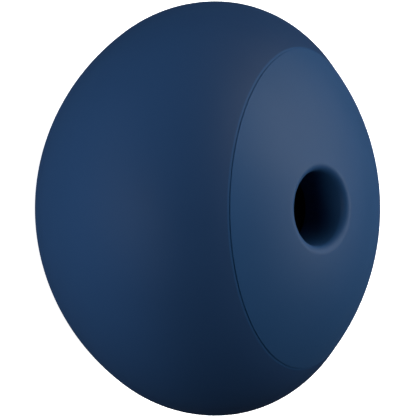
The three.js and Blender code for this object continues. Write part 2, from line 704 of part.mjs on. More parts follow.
addSolid(whole, "hinge_base_leaf", hingeBaseLeaf(), "steel");
addSolid(lid, "hinge_lid_leaf", hingeLidLeaf(), "steel");
const pinEnd = HINGE_HALF - HINGE_GAP;
addSolid(whole, "hinge_pin", rodX(PIN_R, -pinEnd, pinEnd, HINGE_Y, HINGE_Z), "steel");
for (const [name, side] of SIDES) {
  const ends = [side * WASHER_IN, side * (WASHER_IN + WASHER_WIDTH)].sort((a, b) => a - b);
  const washer = rodX(BARREL_R - 0.1, ...ends, HINGE_Y, HINGE_Z);
  addSolid(whole, `hinge_washer_${name}`, washer.subtract(pinHole()), "blackMatte");
}

const leafScrew = screwGeometry(LEAF_SCREW, LEAF_HEAD_R, LEAF_HEAD_H, 0.5);
for (const [name, side] of SIDES) {
  const x = side * LEAF_SCREW_X;
  const basePlace = [x, LEAF_SCREW_Y, BASE_LEAF_Z + LEAF_THICKNESS - LEAF_HEAD_H];
  addScrew(whole, `hinge_base_screw_${name}`, leafScrew, basePlace);
}

// ---------------------------------------------------------------- lid

const LINER_Z = 38.6;
const LINER_WALL = 0.8;
const LID_RECESS_TOP_Z = 42.4;
const RECESS_WALL = 0.9;
const LID_PAD_Z = 40.4;
const LID_PAD_R = 4.6;
const LID_PAD_H = 0.8;
const GRIP_SEAT = 0.4; // how much wider the well is where the grip insert sits

// The fillet between the well's wall and the lid's ball surface, tangent to both.
function wellCutter() {
  const filletR = WELL_R + WELL_LIP;
  const filletZ = Math.sqrt((LID_CAP_R - WELL_LIP) ** 2 - filletR ** 2) - LID_CAP_R;
  const end = Math.PI / 2 - Math.asin(filletR / (LID_CAP_R - WELL_LIP));
  const seatZ = CLEAR - WELL_DEPTH;
  const wall = [[0, -WELL_TUBE_END - 1], [WELL_R + GRIP_SEAT, -WELL_TUBE_END - 1]];
  wall.push([WELL_R + GRIP_SEAT, seatZ], [WELL_R, seatZ]);
  const lip = arcPoints(filletR, filletZ, WELL_LIP, Math.PI, end, 4);
  const mouthR = lip[lip.length - 1][0];
  return inWell(turned([...wall, ...lip, [mouthR, 1], [0, 1]], WELL_ROUND));
}

function lidShell() {
  const rimZ = SEAM_Z + CLEAR / 2;
  const innerR = LID_CAP_R - LID_WALL;
  const edge = (radius) => Math.asin((rimZ - capCentreZ) / radius);
  const outside = arcPoints(0, capCentreZ, LID_CAP_R, edge(LID_CAP_R), Math.PI / 2, 6);
  const inside = arcPoints(0, capCentreZ, innerR, Math.PI / 2, edge(innerR), 5);
  outside[outside.length - 1][0] = 0;
  inside[0][0] = 0;
  let shell = turned([...inside, ...outside]);
  shell = shell.add(inWell(post(WELL_R + WELL_WALL, -WELL_TUBE_END, -1, 0, 0, WELL_ROUND)));
  for (const [, side] of SIDES) {
    shell = shell.add(post(LEAF_BOSS_R, LID_BOSS_Z, 41.2, side * LEAF_SCREW_X, LEAF_SCREW_Y));
  }
  for (const [, side] of SIDES) {
    const leafHole = [side * LEAF_SCREW_X, LEAF_SCREW_Y, HOLE_ROUND];
    shell = shell.subtract(post(LEAF_HOLE_R, 39, 41.7, ...leafHole));
    shell = shell.subtract(post(HOLE_R, 43, 44.9, side * POCKET_X, POCKET_Y, HOLE_ROUND));
  }
  return shell.subtract(wellCutter()).subtract(hingeRoom(LID_ROOM_BOTTOM_Z, LID_BOSS_Z));
}

function lidLiner() {
  let cover = post(22, LINER_Z, LINER_Z + LINER_WALL, 0, 0, ROUND);
  let hollow = null;
  for (const [, side] of SIDES) {
    const place = [side * POCKET_X, POCKET_Y, CUP_ROUND];
    cover = cover.add(post(POCKET_R + RECESS_WALL, LINER_Z, LID_RECESS_TOP_Z + RECESS_WALL, ...place));
    const recess = post(POCKET_R, LINER_Z - 1, LID_RECESS_TOP_Z, ...place);
    hollow = hollow ? hollow.add(recess) : recess;
  }
  cover = cover.intersect(capBall(LID_CAP_R - LID_WALL - CLEAR));
  cover = cover.subtract(hollow.intersect(capBall(LID_CAP_R - LID_WALL - CLEAR - 1)));
  for (const [, side] of SIDES) {
    cover = cover.subtract(post(HOLE_R, 42, 44, side * POCKET_X, POCKET_Y, HOLE_ROUND));
  }
  const wellRoom = post(WELL_R + WELL_WALL + CLEAR, -WELL_TUBE_END - 2, 0, 0, 0, WELL_ROUND);
  return cover.subtract(inWell(wellRoom)).subtract(hingeRoom(LID_ROOM_BOTTOM_Z, 41));
}

addSolid(lid, "lid_shell", lidShell(), "navy");
addSolid(lid, "lid_liner", lidLiner(), "blackGloss");
addSolid(lid, "lid_magnet", barMagnet(39.7, 40.3), "nickel");

// The grip insert keeps its own upright frame inside the tilted well.
const well = new THREE.Group();
well.position.set(0, WELL_Y, WELL_Z);
well.rotation.x = WELL_TILT;
lid.add(well);
const grip = post(WELL_R + GRIP_SEAT - CLEAR, -WELL_DEPTH - GRIP_THICKNESS, -WELL_DEPTH, 0, 0, PAD_ROUND);
addSolid(well, "grip_insert", grip, "rubber");

const linerScrew = screwGeometry(LINER_SCREW);
for (const [name, side] of SIDES) {
  const padPlace = [side * POCKET_X, POCKET_Y, CUP_ROUND];
  const pad = post(LID_PAD_R, LID_PAD_Z, LID_PAD_Z + LID_PAD_H, ...padPlace);
  addSolid(lid, `lid_pad_${name}`, pad.intersect(capBall(LID_CAP_R - 3.1)), "silicone");
  const screwPlace = [side * POCKET_X, POCKET_Y, LID_RECESS_TOP_Z - CLEAR];
  addScrew(lid, `lid_screw_${name}`, linerScrew, screwPlace, [Math.PI, 0, 0]);
  const leafPlace = [side * LEAF_SCREW_X, LEAF_SCREW_Y, LID_LEAF_Z + LEAF_HEAD_H + 0.03];
  addScrew(lid, `hinge_lid_screw_${name}`, leafScrew, leafPlace, [Math.PI, 0, 0]);
}

export default whole;
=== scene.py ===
"""The looks of a round wireless earbuds case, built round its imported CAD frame."""

import json
import math
from contextlib import contextmanager

import bmesh
import bpy
import numpy as np
from mathutils import Matrix, Vector

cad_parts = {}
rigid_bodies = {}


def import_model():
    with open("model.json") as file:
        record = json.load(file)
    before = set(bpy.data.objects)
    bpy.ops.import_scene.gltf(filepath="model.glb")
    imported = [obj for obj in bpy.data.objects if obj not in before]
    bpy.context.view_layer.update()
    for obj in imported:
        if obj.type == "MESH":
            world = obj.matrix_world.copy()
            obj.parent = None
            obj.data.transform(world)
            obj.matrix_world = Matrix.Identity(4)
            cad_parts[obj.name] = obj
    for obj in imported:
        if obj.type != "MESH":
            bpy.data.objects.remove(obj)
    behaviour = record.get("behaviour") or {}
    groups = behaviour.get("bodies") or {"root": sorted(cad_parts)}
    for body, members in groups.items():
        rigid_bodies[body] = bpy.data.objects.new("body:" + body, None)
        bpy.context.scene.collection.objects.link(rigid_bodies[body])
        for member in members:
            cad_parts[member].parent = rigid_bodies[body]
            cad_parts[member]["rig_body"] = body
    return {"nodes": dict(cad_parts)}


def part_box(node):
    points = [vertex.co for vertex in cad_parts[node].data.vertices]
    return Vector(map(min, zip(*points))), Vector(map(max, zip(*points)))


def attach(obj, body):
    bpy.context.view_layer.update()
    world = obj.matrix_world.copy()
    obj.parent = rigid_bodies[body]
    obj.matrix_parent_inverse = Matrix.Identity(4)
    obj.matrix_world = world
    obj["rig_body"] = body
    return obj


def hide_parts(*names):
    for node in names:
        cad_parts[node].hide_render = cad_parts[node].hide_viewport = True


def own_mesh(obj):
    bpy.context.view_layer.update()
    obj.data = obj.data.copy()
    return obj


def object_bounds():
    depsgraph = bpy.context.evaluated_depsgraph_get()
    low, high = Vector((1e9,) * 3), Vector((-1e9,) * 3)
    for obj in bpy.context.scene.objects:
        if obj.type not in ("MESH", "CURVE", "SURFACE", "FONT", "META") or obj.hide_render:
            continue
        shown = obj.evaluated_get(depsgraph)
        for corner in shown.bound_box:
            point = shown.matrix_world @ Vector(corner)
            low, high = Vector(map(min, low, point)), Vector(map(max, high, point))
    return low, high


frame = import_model()
cad_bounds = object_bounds()

MM = 0.001
TURN = 2 * math.pi

# ---- Sizes, from the frame where it has them


def middle(node):
    low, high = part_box(node)
    return (low + high) / 2


BASE_LOW, BASE_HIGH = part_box("base_shell")
TRAY_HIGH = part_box("cradle_tray")[1]

EQUATOR_R = BASE_HIGH.x
SEAM_Z = BASE_HIGH.z + 0.25 * MM
APEX_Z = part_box("lid_shell")[1].z
TRAY_R = TRAY_HIGH.x
TRAY_TOP = TRAY_HIGH.z

EQUATOR_Z = 24.5 * MM
SHOULDER_ARC = 16.85 * MM
BILGE_ARC = 19.5 * MM
BILGE_END = math.radians(32)
BELLY_ARC = 33 * MM
CAP_R = 34.5 * MM
CAP_Z = APEX_Z - CAP_R
BASE_WALL = 1.8 * MM
LID_WALL = 1.5 * MM
SEAM_GAP = 0.06 * MM
BASE_RIM_ROUND = 0.2 * MM
LID_RIM_ROUND = 0.12 * MM
SHELL_BOTTOM = BASE_LOW.z
SHELL_FLOOR = 2.2 * MM
FOOT_SEAT = 1.3 * MM
MOUTH_R = 21.3 * MM
LEDGE_Z = 35.7 * MM
LEDGE_R = 19.4 * MM

WELL_TILT = math.radians(14)
WELL_R = 5.4 * MM
WELL_LIP = 1.1 * MM
WELL_WALL = 0.9 * MM
WELL_DEPTH = 8.4 * MM
WELL_END = 9.4 * MM
GRIP_SEAT = 0.4 * MM
GRIP_THICKNESS = 0.8 * MM

# From the well's own space, with its mouth's middle at the origin, to the frame
WELL_MATRIX = Matrix.Rotation(WELL_TILT, 4, "X") @ Matrix.Translation((0, 0, CAP_R))
WELL_MATRIX.translation.z += CAP_Z

_, HINGE_Y, HINGE_Z = middle("hinge_pin")
LEAF_LOW, LEAF_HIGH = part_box("hinge_base_leaf")
HINGE_HALF = LEAF_HIGH.x
BARREL_R = 1.5 * MM
NOTCH_HALF = HINGE_HALF + 0.25 * MM
NOTCH_R = BARREL_R + 0.35 * MM
LEAF_FRONT_Y = LEAF_LOW.y
PORT_Z = 19 * MM
BUTTON_Z = 26 * MM
BUTTON_R = 2.2 * MM
POCKET_X = 10 * MM
POCKET_Y = 3 * MM
POCKET_R = 7.3 * MM
POCKETS = [(-POCKET_X, POCKET_Y), (POCKET_X, POCKET_Y)]

ROUND = 256  # segments round the large turned pieces
OVERCUT = 0.005 * MM  # how far a cutter passes the face that it ends on
WELD = 1e-7  # vertices nearer than this are one
TINY = 1e-9  # lengths under this count as none
SHARP_ANGLE = 35
SIDES = (("left", -1), ("right", 1))

# ---- Mesh building


def new_object(name, verts, faces):
    mesh = bpy.data.meshes.new(name)
    mesh.from_pydata([tuple(v) for v in verts], [], faces)
    mesh.update()
    obj = bpy.data.objects.new(name, mesh)
    bpy.context.scene.collection.objects.link(obj)
    return obj


@contextmanager
def editing(obj):
    """Opens an object's mesh for editing and writes it back."""
    bm = bmesh.new()
    bm.from_mesh(obj.data)
    yield bm
    bm.to_mesh(obj.data)
    bm.free()


def outward(obj):
    """Turns every face of a closed mesh outwards."""
    with editing(obj) as bm:
        bmesh.ops.recalc_face_normals(bm, faces=bm.faces)
        if bm.calc_volume(signed=True) < 0:
            bmesh.ops.reverse_faces(bm, faces=bm.faces)
    return obj


def smooth(obj):
    """Smooth shading, with edges over the sharp angle kept sharp and large faces kept flat."""
    obj.data.polygons.foreach_set("use_smooth", [True] * len(obj.data.polygons))
    with editing(obj) as bm:
        for edge in bm.edges:
            edge.smooth = len(edge.link_faces) == 2 and edge.calc_face_angle(0) < math.radians(SHARP_ANGLE)
    weighted = obj.modifiers.new("weighted normals", "WEIGHTED_NORMAL")
    weighted.keep_sharp = True


def band(here, there, count):
    """Four-sided faces between two rings of count vertices that start at the given indices."""
    following = [*range(1, count), 0]
    return [(here + j, here + k, there + k, there + j) for j, k in enumerate(following)]


def loop_surface(name, rings):
    """A closed surface through rings of equally many points, the last joined to the first."""
    count = len(rings[0])
    faces = []
    for i in range(len(rings)):
        faces += band(i * count, (i + 1) % len(rings) * count, count)
    return outward(new_object(name, np.concatenate(rings), faces))


def loft(name, rings):
    """A closed surface through rings of equally many points, with a flat cap at each end."""
    count = len(rings[0])
    last = (len(rings) - 1) * count
    faces = [tuple(range(count)), tuple(range(last, last + count))]
    for start in range(0, last, count):
        faces += band(start, start + count, count)
    return outward(new_object(name, np.concatenate(rings), faces))


def arc(centre_x, centre_y, radius, start, end, steps):
    points = []
    for i in range(steps + 1):
        angle = start + (end - start) * i / steps
        points.append((centre_x + radius * math.cos(angle), centre_y + radius * math.sin(angle)))
    return points


def turned(name, outline, segments=ROUND):
    """A solid turned about Z from an outline of (radius, z), which starts and ends on the axis or closes."""
    verts = []
    rows = []
    for radius, z in outline:
        count = 1 if radius < TINY else segments
        rows.append([len(verts) + j % count for j in range(segments)])
        verts += [(x, y, z) for x, y in arc(0, 0, radius, 0, TURN, segments)[:count]]
    on_axis = outline[0][0] < TINY and outline[-1][0] < TINY
    pairs = list(zip(rows, rows[1:])) + ([] if on_axis else [(rows[-1], rows[0])])
    faces = []
    for low, high in pairs:
        for j in range(segments):
            k = (j + 1) % segments
            corners = dict.fromkeys((low[j], low[k], high[k], high[j]))
            if len(corners) > 2:
                faces.append(tuple(corners))
    return outward(new_object(name, verts, faces))


def rounded(corners, closed=False, steps=5):
    """A polygon of (x, y, radius) with each corner rounded by its radius."""
    points = []
    count = len(corners)
    for i, (x, y, radius) in enumerate(corners):
        here = Vector((x, y))
        if radius <= 0 or (not closed and i in (0, count - 1)):
            points.append((x, y))
            continue
        before = Vector(corners[i - 1][:2]) - here
        after = Vector(corners[(i + 1) % count][:2]) - here
        half = before.angle(after) / 2
        reach = min(radius / math.tan(half), before.length * 0.49, after.length * 0.49)
        before.normalize()
        after.normalize()
        start = here + before * reach
        end = here + after * reach
        centre = here + (before + after).normalized() * (reach / math.cos(half))
        first = math.atan2((start - centre).y, (start - centre).x)
        sweep = math.atan2((end - centre).y, (end - centre).x) - first
        sweep = (sweep + math.pi) % TURN - math.pi
        points += arc(centre.x, centre.y, (start - centre).length, first, first + sweep, steps)
    return points


def disc(name, radius, z0, z1, edge=0.15 * MM, segments=96):
    corners = [(0, z0, 0), (radius, z0, edge), (radius, z1, edge), (0, z1, 0)]
    return turned(name, rounded(corners), segments)


def pins(radius, z0, z1, places, edge=0.0, segments=32):
    return [moved(disc("pin", radius, z0, z1, edge, segments), x, y) for x, y in places]


def ring(name, inner, outer, z0, z1, edge=0.1 * MM, segments=128):
    corners = [(inner, z0, edge), (outer, z0, edge), (outer, z1, edge), (inner, z1, edge)]
    return turned(name, rounded(corners, closed=True), segments)


def prism(name, outline, z0, z1, edge=0.1 * MM):
    """A plate with the given (x, y) outline between two heights, its rims rounded by a bevel."""
    obj = loft(name, [np.array([(x, y, z) for x, y in outline]) for z in (z0, z1)])
    if edge > 0:
        with editing(obj) as bm:
            rims = [e for e in bm.edges if abs(e.verts[0].co.z - e.verts[1].co.z) < TINY]
            bmesh.ops.bevel(bm, geom=rims, offset=edge, segments=3, profile=0.5, affect="EDGES")
    return obj


def block(name, low, high, corner=0.2 * MM, edge=0.1 * MM):
    """A box with round upright corners and softened rims."""
    corners = [(low[0], low[1]), (high[0], low[1]), (high[0], high[1]), (low[0], high[1])]
    outline = rounded([(x, y, corner) for x, y in corners], closed=True, steps=4)
    return prism(name, outline, low[2], high[2], edge)


def slot_outline(half_width, half_height):
    straight = half_width - half_height
    right = arc(straight, 0, half_height, -math.pi / 2, math.pi / 2, 16)
    return right + [(-x, -y) for x, y in right]


def place(obj, matrix):
    obj.data.transform(matrix)
    return outward(obj)


def moved(obj, x=0.0, y=0.0, z=0.0):
    return place(obj, Matrix.Translation((x, y, z)))


def along_y(obj, x, z):
    """Turns a piece made upright so that its top faces +Y, and moves it to x, z."""
    return place(obj, Matrix.Translation((x, 0, z)) @ Matrix.Rotation(-math.pi / 2, 4, "X"))


def along_x(obj, y, z):
    """Turns a piece made upright so that its top faces +X, and moves it to y, z."""
    return place(obj, Matrix.Translation((0, y, z)) @ Matrix.Rotation(math.pi / 2, 4, "Y"))


def gather(obj, *others):
    """Adds the others' faces to obj's mesh as they are, and deletes them."""
    with editing(obj) as bm:
        for other in others:
            bm.from_mesh(other.data)
            bpy.data.objects.remove(other)
    return obj


def weld(obj):
    """Closes the hair-thin gaps and removes the empty faces that a boolean can leave."""
    with editing(obj) as bm:
        bmesh.ops.remove_doubles(bm, verts=bm.verts, dist=WELD)
        bmesh.ops.dissolve_degenerate(bm, edges=bm.edges, dist=WELD)


def combine(obj, others, operation):
    """Joins the others to obj, cuts them from it, or keeps what they share, and deletes them."""
    for other in others:
        step = obj.modifiers.new("boolean", "BOOLEAN")
        step.operation = operation
        step.solver = "EXACT"
        step.object = other
        graph = bpy.context.evaluated_depsgraph_get()
        result = bpy.data.meshes.new_from_object(obj.evaluated_get(graph))
        obj.modifiers.clear()
        obj.data = result
        bpy.data.objects.remove(other)
        weld(obj)
    return obj


def cut(obj, *others):
    return combine(obj, others, "DIFFERENCE")


def join(obj, *others):
    return combine(obj, others, "UNION")


def keep(obj, *others):
    return combine(obj, others, "INTERSECT")


def finish(obj, look, *nodes, body=None):
    """Shading and the material of a look of slot and material; the look's slot is not used. The piece rides
    with its CAD nodes, or on the body named.
    """
    slot, material = look
    smooth(obj)
    obj.data.materials.clear()
    obj.data.materials.append(material)
    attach(obj, body or frame["nodes"][nodes[0]]["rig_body"])
    if nodes:
        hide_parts(*nodes)
    return obj


def build(make, look):
    """Makes a piece whose function is named after the CAD node that it stands for."""
    return finish(make(), look, make.__name__)


# ---- Materials


class Shader:
    """A node material round one Principled shader, with short calls for its nodes."""

    def __init__(self, name, color, roughness, **sockets):
        self.material = bpy.data.materials.new(name)
        self.material.use_nodes = True
        self.tree = self.material.node_tree
        self.surface = self.tree.nodes["Principled BSDF"]
        self.surface.inputs["Base Color"].default_value = (*color, 1)
        self.surface.inputs["Roughness"].default_value = roughness
        for socket, value in sockets.items():
            self.surface.inputs[socket.replace("_", " ")].default_value = value
        self.place = self.tree.nodes.new("ShaderNodeTexCoord").outputs["Object"]

    def node(self, kind, **values):
        made = self.tree.nodes.new(kind)
        for key, value in values.items():
            socket = key.replace("_", " ")
            if socket in made.inputs:
                if isinstance(value, bpy.types.NodeSocket):
                    self.tree.links.new(value, made.inputs[socket])
                else:
                    made.inputs[socket].default_value = value
            else:
                setattr(made, key, value)
        return made

    def noise(self, size, detail=3.0, stretch=(1, 1, 1)):
        """Noise with features about size metres across, squeezed along an axis by stretch."""
        mapping = self.node("ShaderNodeMapping", Vector=self.place, Scale=stretch)
        made = self.node("ShaderNodeTexNoise", Vector=mapping.outputs[0], Scale=1 / size, Detail=detail)
        return made.outputs[0]

    def ramp(self, value, low, high, start=0.0, end=1.0):
        """Maps value from start..end to low..high, as a number."""
        made = self.node("ShaderNodeMapRange", Value=value)
        for socket, number in (("From Min", start), ("From Max", end), ("To Min", low), ("To Max", high)):
            made.inputs[socket].default_value = number
        return made.outputs[0]

    def blend(self, value, dark, light, dark_paint=None):
        """Mixes two colours by a value; dark_paint, if given, takes the place of the first one."""
        made = self.tree.nodes.new("ShaderNodeMix")
        made.data_type = "RGBA"
        self.tree.links.new(value, made.inputs[0])
        made.inputs[6].default_value = (*dark, 1)
        made.inputs[7].default_value = (*light, 1)
        if dark_paint:
            self.tree.links.new(dark_paint, made.inputs[6])
        return made.outputs[2]

    def drive(self, socket, value):
        self.tree.links.new(value, self.surface.inputs[socket])

    def bump(self, height, depth):
        """Bump whose heights run over depth metres."""
        made = self.node("ShaderNodeBump", Height=height, Distance=depth, Strength=1)
        self.drive("Normal", made.outputs[0])

    def roughen(self, value, low, high, start=0.3, end=0.7):
        """Roughness that follows a value."""
        self.drive("Roughness", self.ramp(value, low, high, start, end))

    def paint(self, value, dark, light):
        """Colour that follows a value."""
        self.drive("Base Color", self.blend(value, dark, light))


def shade(color, factor):
    return tuple(channel * factor for channel in color)


def soft_touch(name, color, shine, rim_highlight_color=None):
    """Matte rubberised paint, faintly rough like orange peel and a little rubbed.

    With a rim highlight colour, a hairline band just below the seam is painted in that lighter colour: a
    painted highlight for the light that the rim's rounded edge would catch."""
    made = Shader(name, color, 0.5, Specular_IOR_Level=shine)
    grain = made.noise(0.16 * MM, 4)
    made.bump(grain, 0.0035 * MM)
    patches = made.noise(9 * MM, 2)
    made.roughen(patches, 0.46, 0.52)
    paint = made.blend(patches, shade(color, 0.97), shade(color, 1.03))
    if rim_highlight_color:
        # Painted highlight: a lighter hairline band just below the seam, where the base's rounded rim would
        # catch the light.
        height = made.node("ShaderNodeSeparateXYZ", Vector=made.place).outputs[2]
        highlight_band = made.ramp(height, 0, 1, SEAM_Z - 0.32 * MM, SEAM_Z - 0.22 * MM)
        paint = made.blend(highlight_band, color, rim_highlight_color, paint)
    made.drive("Base Color", paint)
    return made.material


def moulded(name, color, roughness, grain=0.12 * MM, depth=0.004 * MM, shine=0.5):
    """Moulded plastic or rubber with a fine texture from its tool."""
    made = Shader(name, color, roughness, Specular_IOR_Level=shine)
    made.bump(made.noise(grain, 3), depth)
    patches = made.noise(4 * MM, 2)
    made.roughen(patches, roughness * 0.88, min(1, roughness * 1.12))
    made.paint(patches, shade(color, 0.85), shade(color, 1.15))
    return made.material


def polished_black():
    """Polished plastic with a slight sink-mark waviness and fine wipe marks."""
    roughness = 0.16
    made = Shader("black_gloss", (0.006, 0.0065, 0.008), roughness, Coat_Weight=0.25)
    made.bump(made.noise(3 * MM, 1), 0.006 * MM)
    wipes = made.noise(0.5 * MM, 4, (1, 6, 1))
    made.roughen(wipes, roughness * 0.7, roughness * 1.7, 0.35, 0.7)
    return made.material


def textured(name, color, roughness, noise, depth, rough, mottle=None, **sockets):
    """Metal whose bump, roughness and, where mottle is given, colour follow one noise."""
    made = Shader(name, color, roughness, **sockets)
    value = made.noise(*noise)
    made.bump(value, depth)
    made.roughen(value, *rough)
    if mottle:
        made.paint(value, *(shade(color, factor) for factor in mottle))
    return made.material


def brushed_steel():
    """Steel with fine brushing lines along one axis."""
    color, lines = (0.42, 0.43, 0.45), (0.6 * MM, 5, (1, 12, 12))
    looks = {"rough": (0.21, 0.405), "mottle": (0.85, 1.08), "Metallic": 1}
    return textured("brushed_steel", color, 0.3, lines, 0.004 * MM, **looks)


def plated(name, color, roughness=0.2):
    """Plated metal, a little mottled."""
    rough = (roughness * 0.7, roughness * 1.5, 0.35, 0.65)
    return textured(name, color, roughness, (0.5 * MM, 4), 0.002 * MM, rough, Metallic=1)


def enamelled_wire():
    looks = {"rough": (0.2, 0.38), "Metallic": 0.9, "Coat_Weight": 0.5}
    return textured("enamelled_copper", (0.48, 0.17, 0.06), 0.28, (0.3 * MM, 3), 0.003 * MM, **looks)


def circuit():
    """Solder mask over copper tracks that run along the board's X and Y."""
    made = Shader("solder_mask", (0.012, 0.06, 0.03), 0.32)
    split = made.node("ShaderNodeTexVoronoi", Vector=made.place, Scale=1 / (1.6 * MM), distance="MANHATTAN")
    tracks = made.ramp(split.outputs["Distance"], 0, 1, 0.34, 0.38)
    fine = made.noise(0.9 * MM, 1)
    made.paint(tracks, (0.02, 0.11, 0.05), (0.01, 0.05, 0.025))
    made.roughen(fine, 0.25, 0.4)
    made.bump(tracks, 0.02 * MM)
    return made.material


def foil_pouch():
    """Laminated foil, softly wrinkled."""
    made = Shader("battery_foil", (0.55, 0.56, 0.57), 0.34, Metallic=0.85)
    wrinkles = made.noise(2.2 * MM, 5)
    made.bump(wrinkles, 0.09 * MM)
    made.roughen(made.noise(0.4 * MM, 2), 0.28, 0.42)
    return made.material


def foam_block():
    made = Shader("foam", (0.03, 0.031, 0.034), 0.95)
    cells = made.node("ShaderNodeTexVoronoi", Vector=made.place, Scale=1 / (0.35 * MM))
    made.bump(cells.outputs["Distance"], 0.12 * MM)
    made.paint(cells.outputs["Distance"], (0.012, 0.012, 0.014), (0.05, 0.05, 0.055))
    return made.material


def film():
    """Amber polyimide with copper lines running through it."""
    made = Shader("flex_film", (0.42, 0.16, 0.03), 0.28)
    wave = made.node("ShaderNodeTexWave", Vector=made.place, Scale=1 / (2.2 * MM), bands_direction="X")
    lines = made.ramp(wave.outputs["Fac"], 0, 1, 0.55, 0.62)
    made.paint(lines, (0.5, 0.2, 0.04), (0.24, 0.07, 0.015))
    made.bump(lines, 0.03 * MM)
    return made.material


def clear_plastic():
    made = Shader("clear_plastic", (0.92, 0.94, 0.95), 0.22, Transmission_Weight=0.75, IOR=1.49)
    made.bump(made.noise(0.3 * MM, 2), 0.004 * MM)
    return made.material


NAVY = (0.0105, 0.031, 0.08)
LID_NAVY = (0.0125, 0.0475, 0.121)

# Looks: the slot and the material of each
# The base's paint carries a painted highlight: a hairline band of the lid's lighter navy just below the seam.
navy = ("navy_soft_touch", soft_touch("navy_soft_touch", NAVY, 0.07, LID_NAVY))
navy_lid = ("navy_soft_touch", soft_touch("navy_soft_touch_lid", LID_NAVY, 0.13))
black_gloss = ("black_gloss", polished_black())
black_matte = ("black_matte", moulded("black_matte", (0.012, 0.012, 0.013), 0.55))
rubber_paint = moulded("black_rubber", (0.0015, 0.0015, 0.0017), 0.7, 0.2 * MM, 0.01 * MM, 0.05)
black_rubber = ("black_rubber", rubber_paint)
silicone = ("silicone", moulded("grey_silicone", (0.018, 0.024, 0.035), 0.6, 0.1 * MM, 0.003 * MM))
steel = ("steel", brushed_steel())
screw_steel = ("steel", plated("screw_steel", (0.36, 0.36, 0.37), 0.28))
nickel = ("nickel", plated("nickel_plate", (0.6, 0.59, 0.56)))
gold = ("gold", plated("gold_plate", (0.85, 0.5, 0.14), 0.18))
copper = ("copper", enamelled_wire())
ferrite = ("ferrite", moulded("ferrite", (0.02, 0.02, 0.022), 0.6, 0.3 * MM, 0.01 * MM))
pouch = ("battery_pouch", foil_pouch())
foam = ("foam", foam_block())
board = ("circuit_board", circuit())
flex = ("flex_film", film())
clear = ("clear_plastic", clear_plastic())

# ---- Outer shells

SHOULDER_R = EQUATOR_R - SHOULDER_ARC
BILGE_R = EQUATOR_R - BILGE_ARC
BELLY_R = BILGE_R + (BILGE_ARC - BELLY_ARC) * math.cos(BILGE_END)
BELLY_Z = EQUATOR_Z - (BILGE_ARC - BELLY_ARC) * math.sin(BILGE_END)


def base_section(inset, z0, z1, fine=1.0):
    """The base's section moved inwards by inset, from the height z0 up to z1."""
    belly = BELLY_ARC - inset
    shoulder = SHOULDER_ARC - inset
    start = math.asin((z0 - BELLY_Z) / belly)
    end = math.asin((z1 - EQUATOR_Z) / shoulder)
    points = arc(BELLY_R, BELLY_Z, belly, start, -BILGE_END, int(36 * fine))
    points += arc(BILGE_R, EQUATOR_Z, BILGE_ARC - inset, -BILGE_END, 0, int(24 * fine))[1:]
    return points + arc(SHOULDER_R, EQUATOR_Z, shoulder, 0, end, int(40 * fine))[1:]


def hinge_room():
    """The notch across the seam that the hinge's barrel and leaves lie in."""
    barrel = along_x(disc("notch", NOTCH_R, -NOTCH_HALF, NOTCH_HALF, 0.1 * MM), HINGE_Y, HINGE_Z)
    low = (-NOTCH_HALF, LEAF_FRONT_Y - 0.2 * MM, HINGE_Z - 1.6 * MM)
    high = (NOTCH_HALF, HINGE_Y + 0.3 * MM, HINGE_Z + 1.45 * MM)
    return join(barrel, block("notch_box", low, high, 0.1 * MM, 0))


def skin_y(x, z, depth=0.0):
    """Y of the base's surface at the rear, or of the surface that lies the given depth under it."""
    if z < EQUATOR_Z:
        radius = BILGE_R + math.sqrt((BILGE_ARC - depth) ** 2 - (EQUATOR_Z - z) ** 2)
    else:
        radius = SHOULDER_R + math.sqrt((SHOULDER_ARC - depth) ** 2 - (z - EQUATOR_Z) ** 2)
    return math.sqrt(radius**2 - x**2)


def rear_ring(outline, height, y=None, depth=0.0):
    """An outline of (x, z) about the given height, at one y or at a depth under the rear surface."""
    ring_points = []
    for x, dz in outline:
        ring_points.append((x, skin_y(x, height + dz, depth) if y is None else y, height + dz))
    return np.array(ring_points)


def circle_outline(radius):
    return arc(0, 0, radius, 0, TURN, 64)[:-1]


def rounding(radius, steps=4):
    """(inset, depth) pairs round an edge, from the side wall to the front face."""
    return [(radius - x, radius - y) for x, y in arc(0, 0, radius, 0, math.pi / 2, steps)]


def port_outline(grow):
    """The port's opening in the shell, which leaves a hair of room round the bezel."""
    return slot_outline(5.75 * MM + grow, 2.9 * MM + grow)


def button_outline(grow):
    return circle_outline(BUTTON_R + 0.15 * MM + grow)


def rear_cutter(name, outline, height, flare=0.3 * MM):
    """A hole through the rear wall whose edge is rounded where it meets the surface."""
    rings = [rear_ring(outline(0), height, y=20 * MM)]
    for grow, depth in rounding(flare):
        rings.append(rear_ring(outline(grow), height, depth=depth - OVERCUT))
    return loft(name, rings + [rear_ring(outline(flare), height, y=32 * MM)])


SCREW_HOLE_R = 0.75 * MM
TRAY_SCREW_NAMES = ("front_right", "rear_right", "rear_left", "front_left")
TRAY_SCREWS = [middle(f"tray_screw_{name}")[:2] for name in TRAY_SCREW_NAMES]


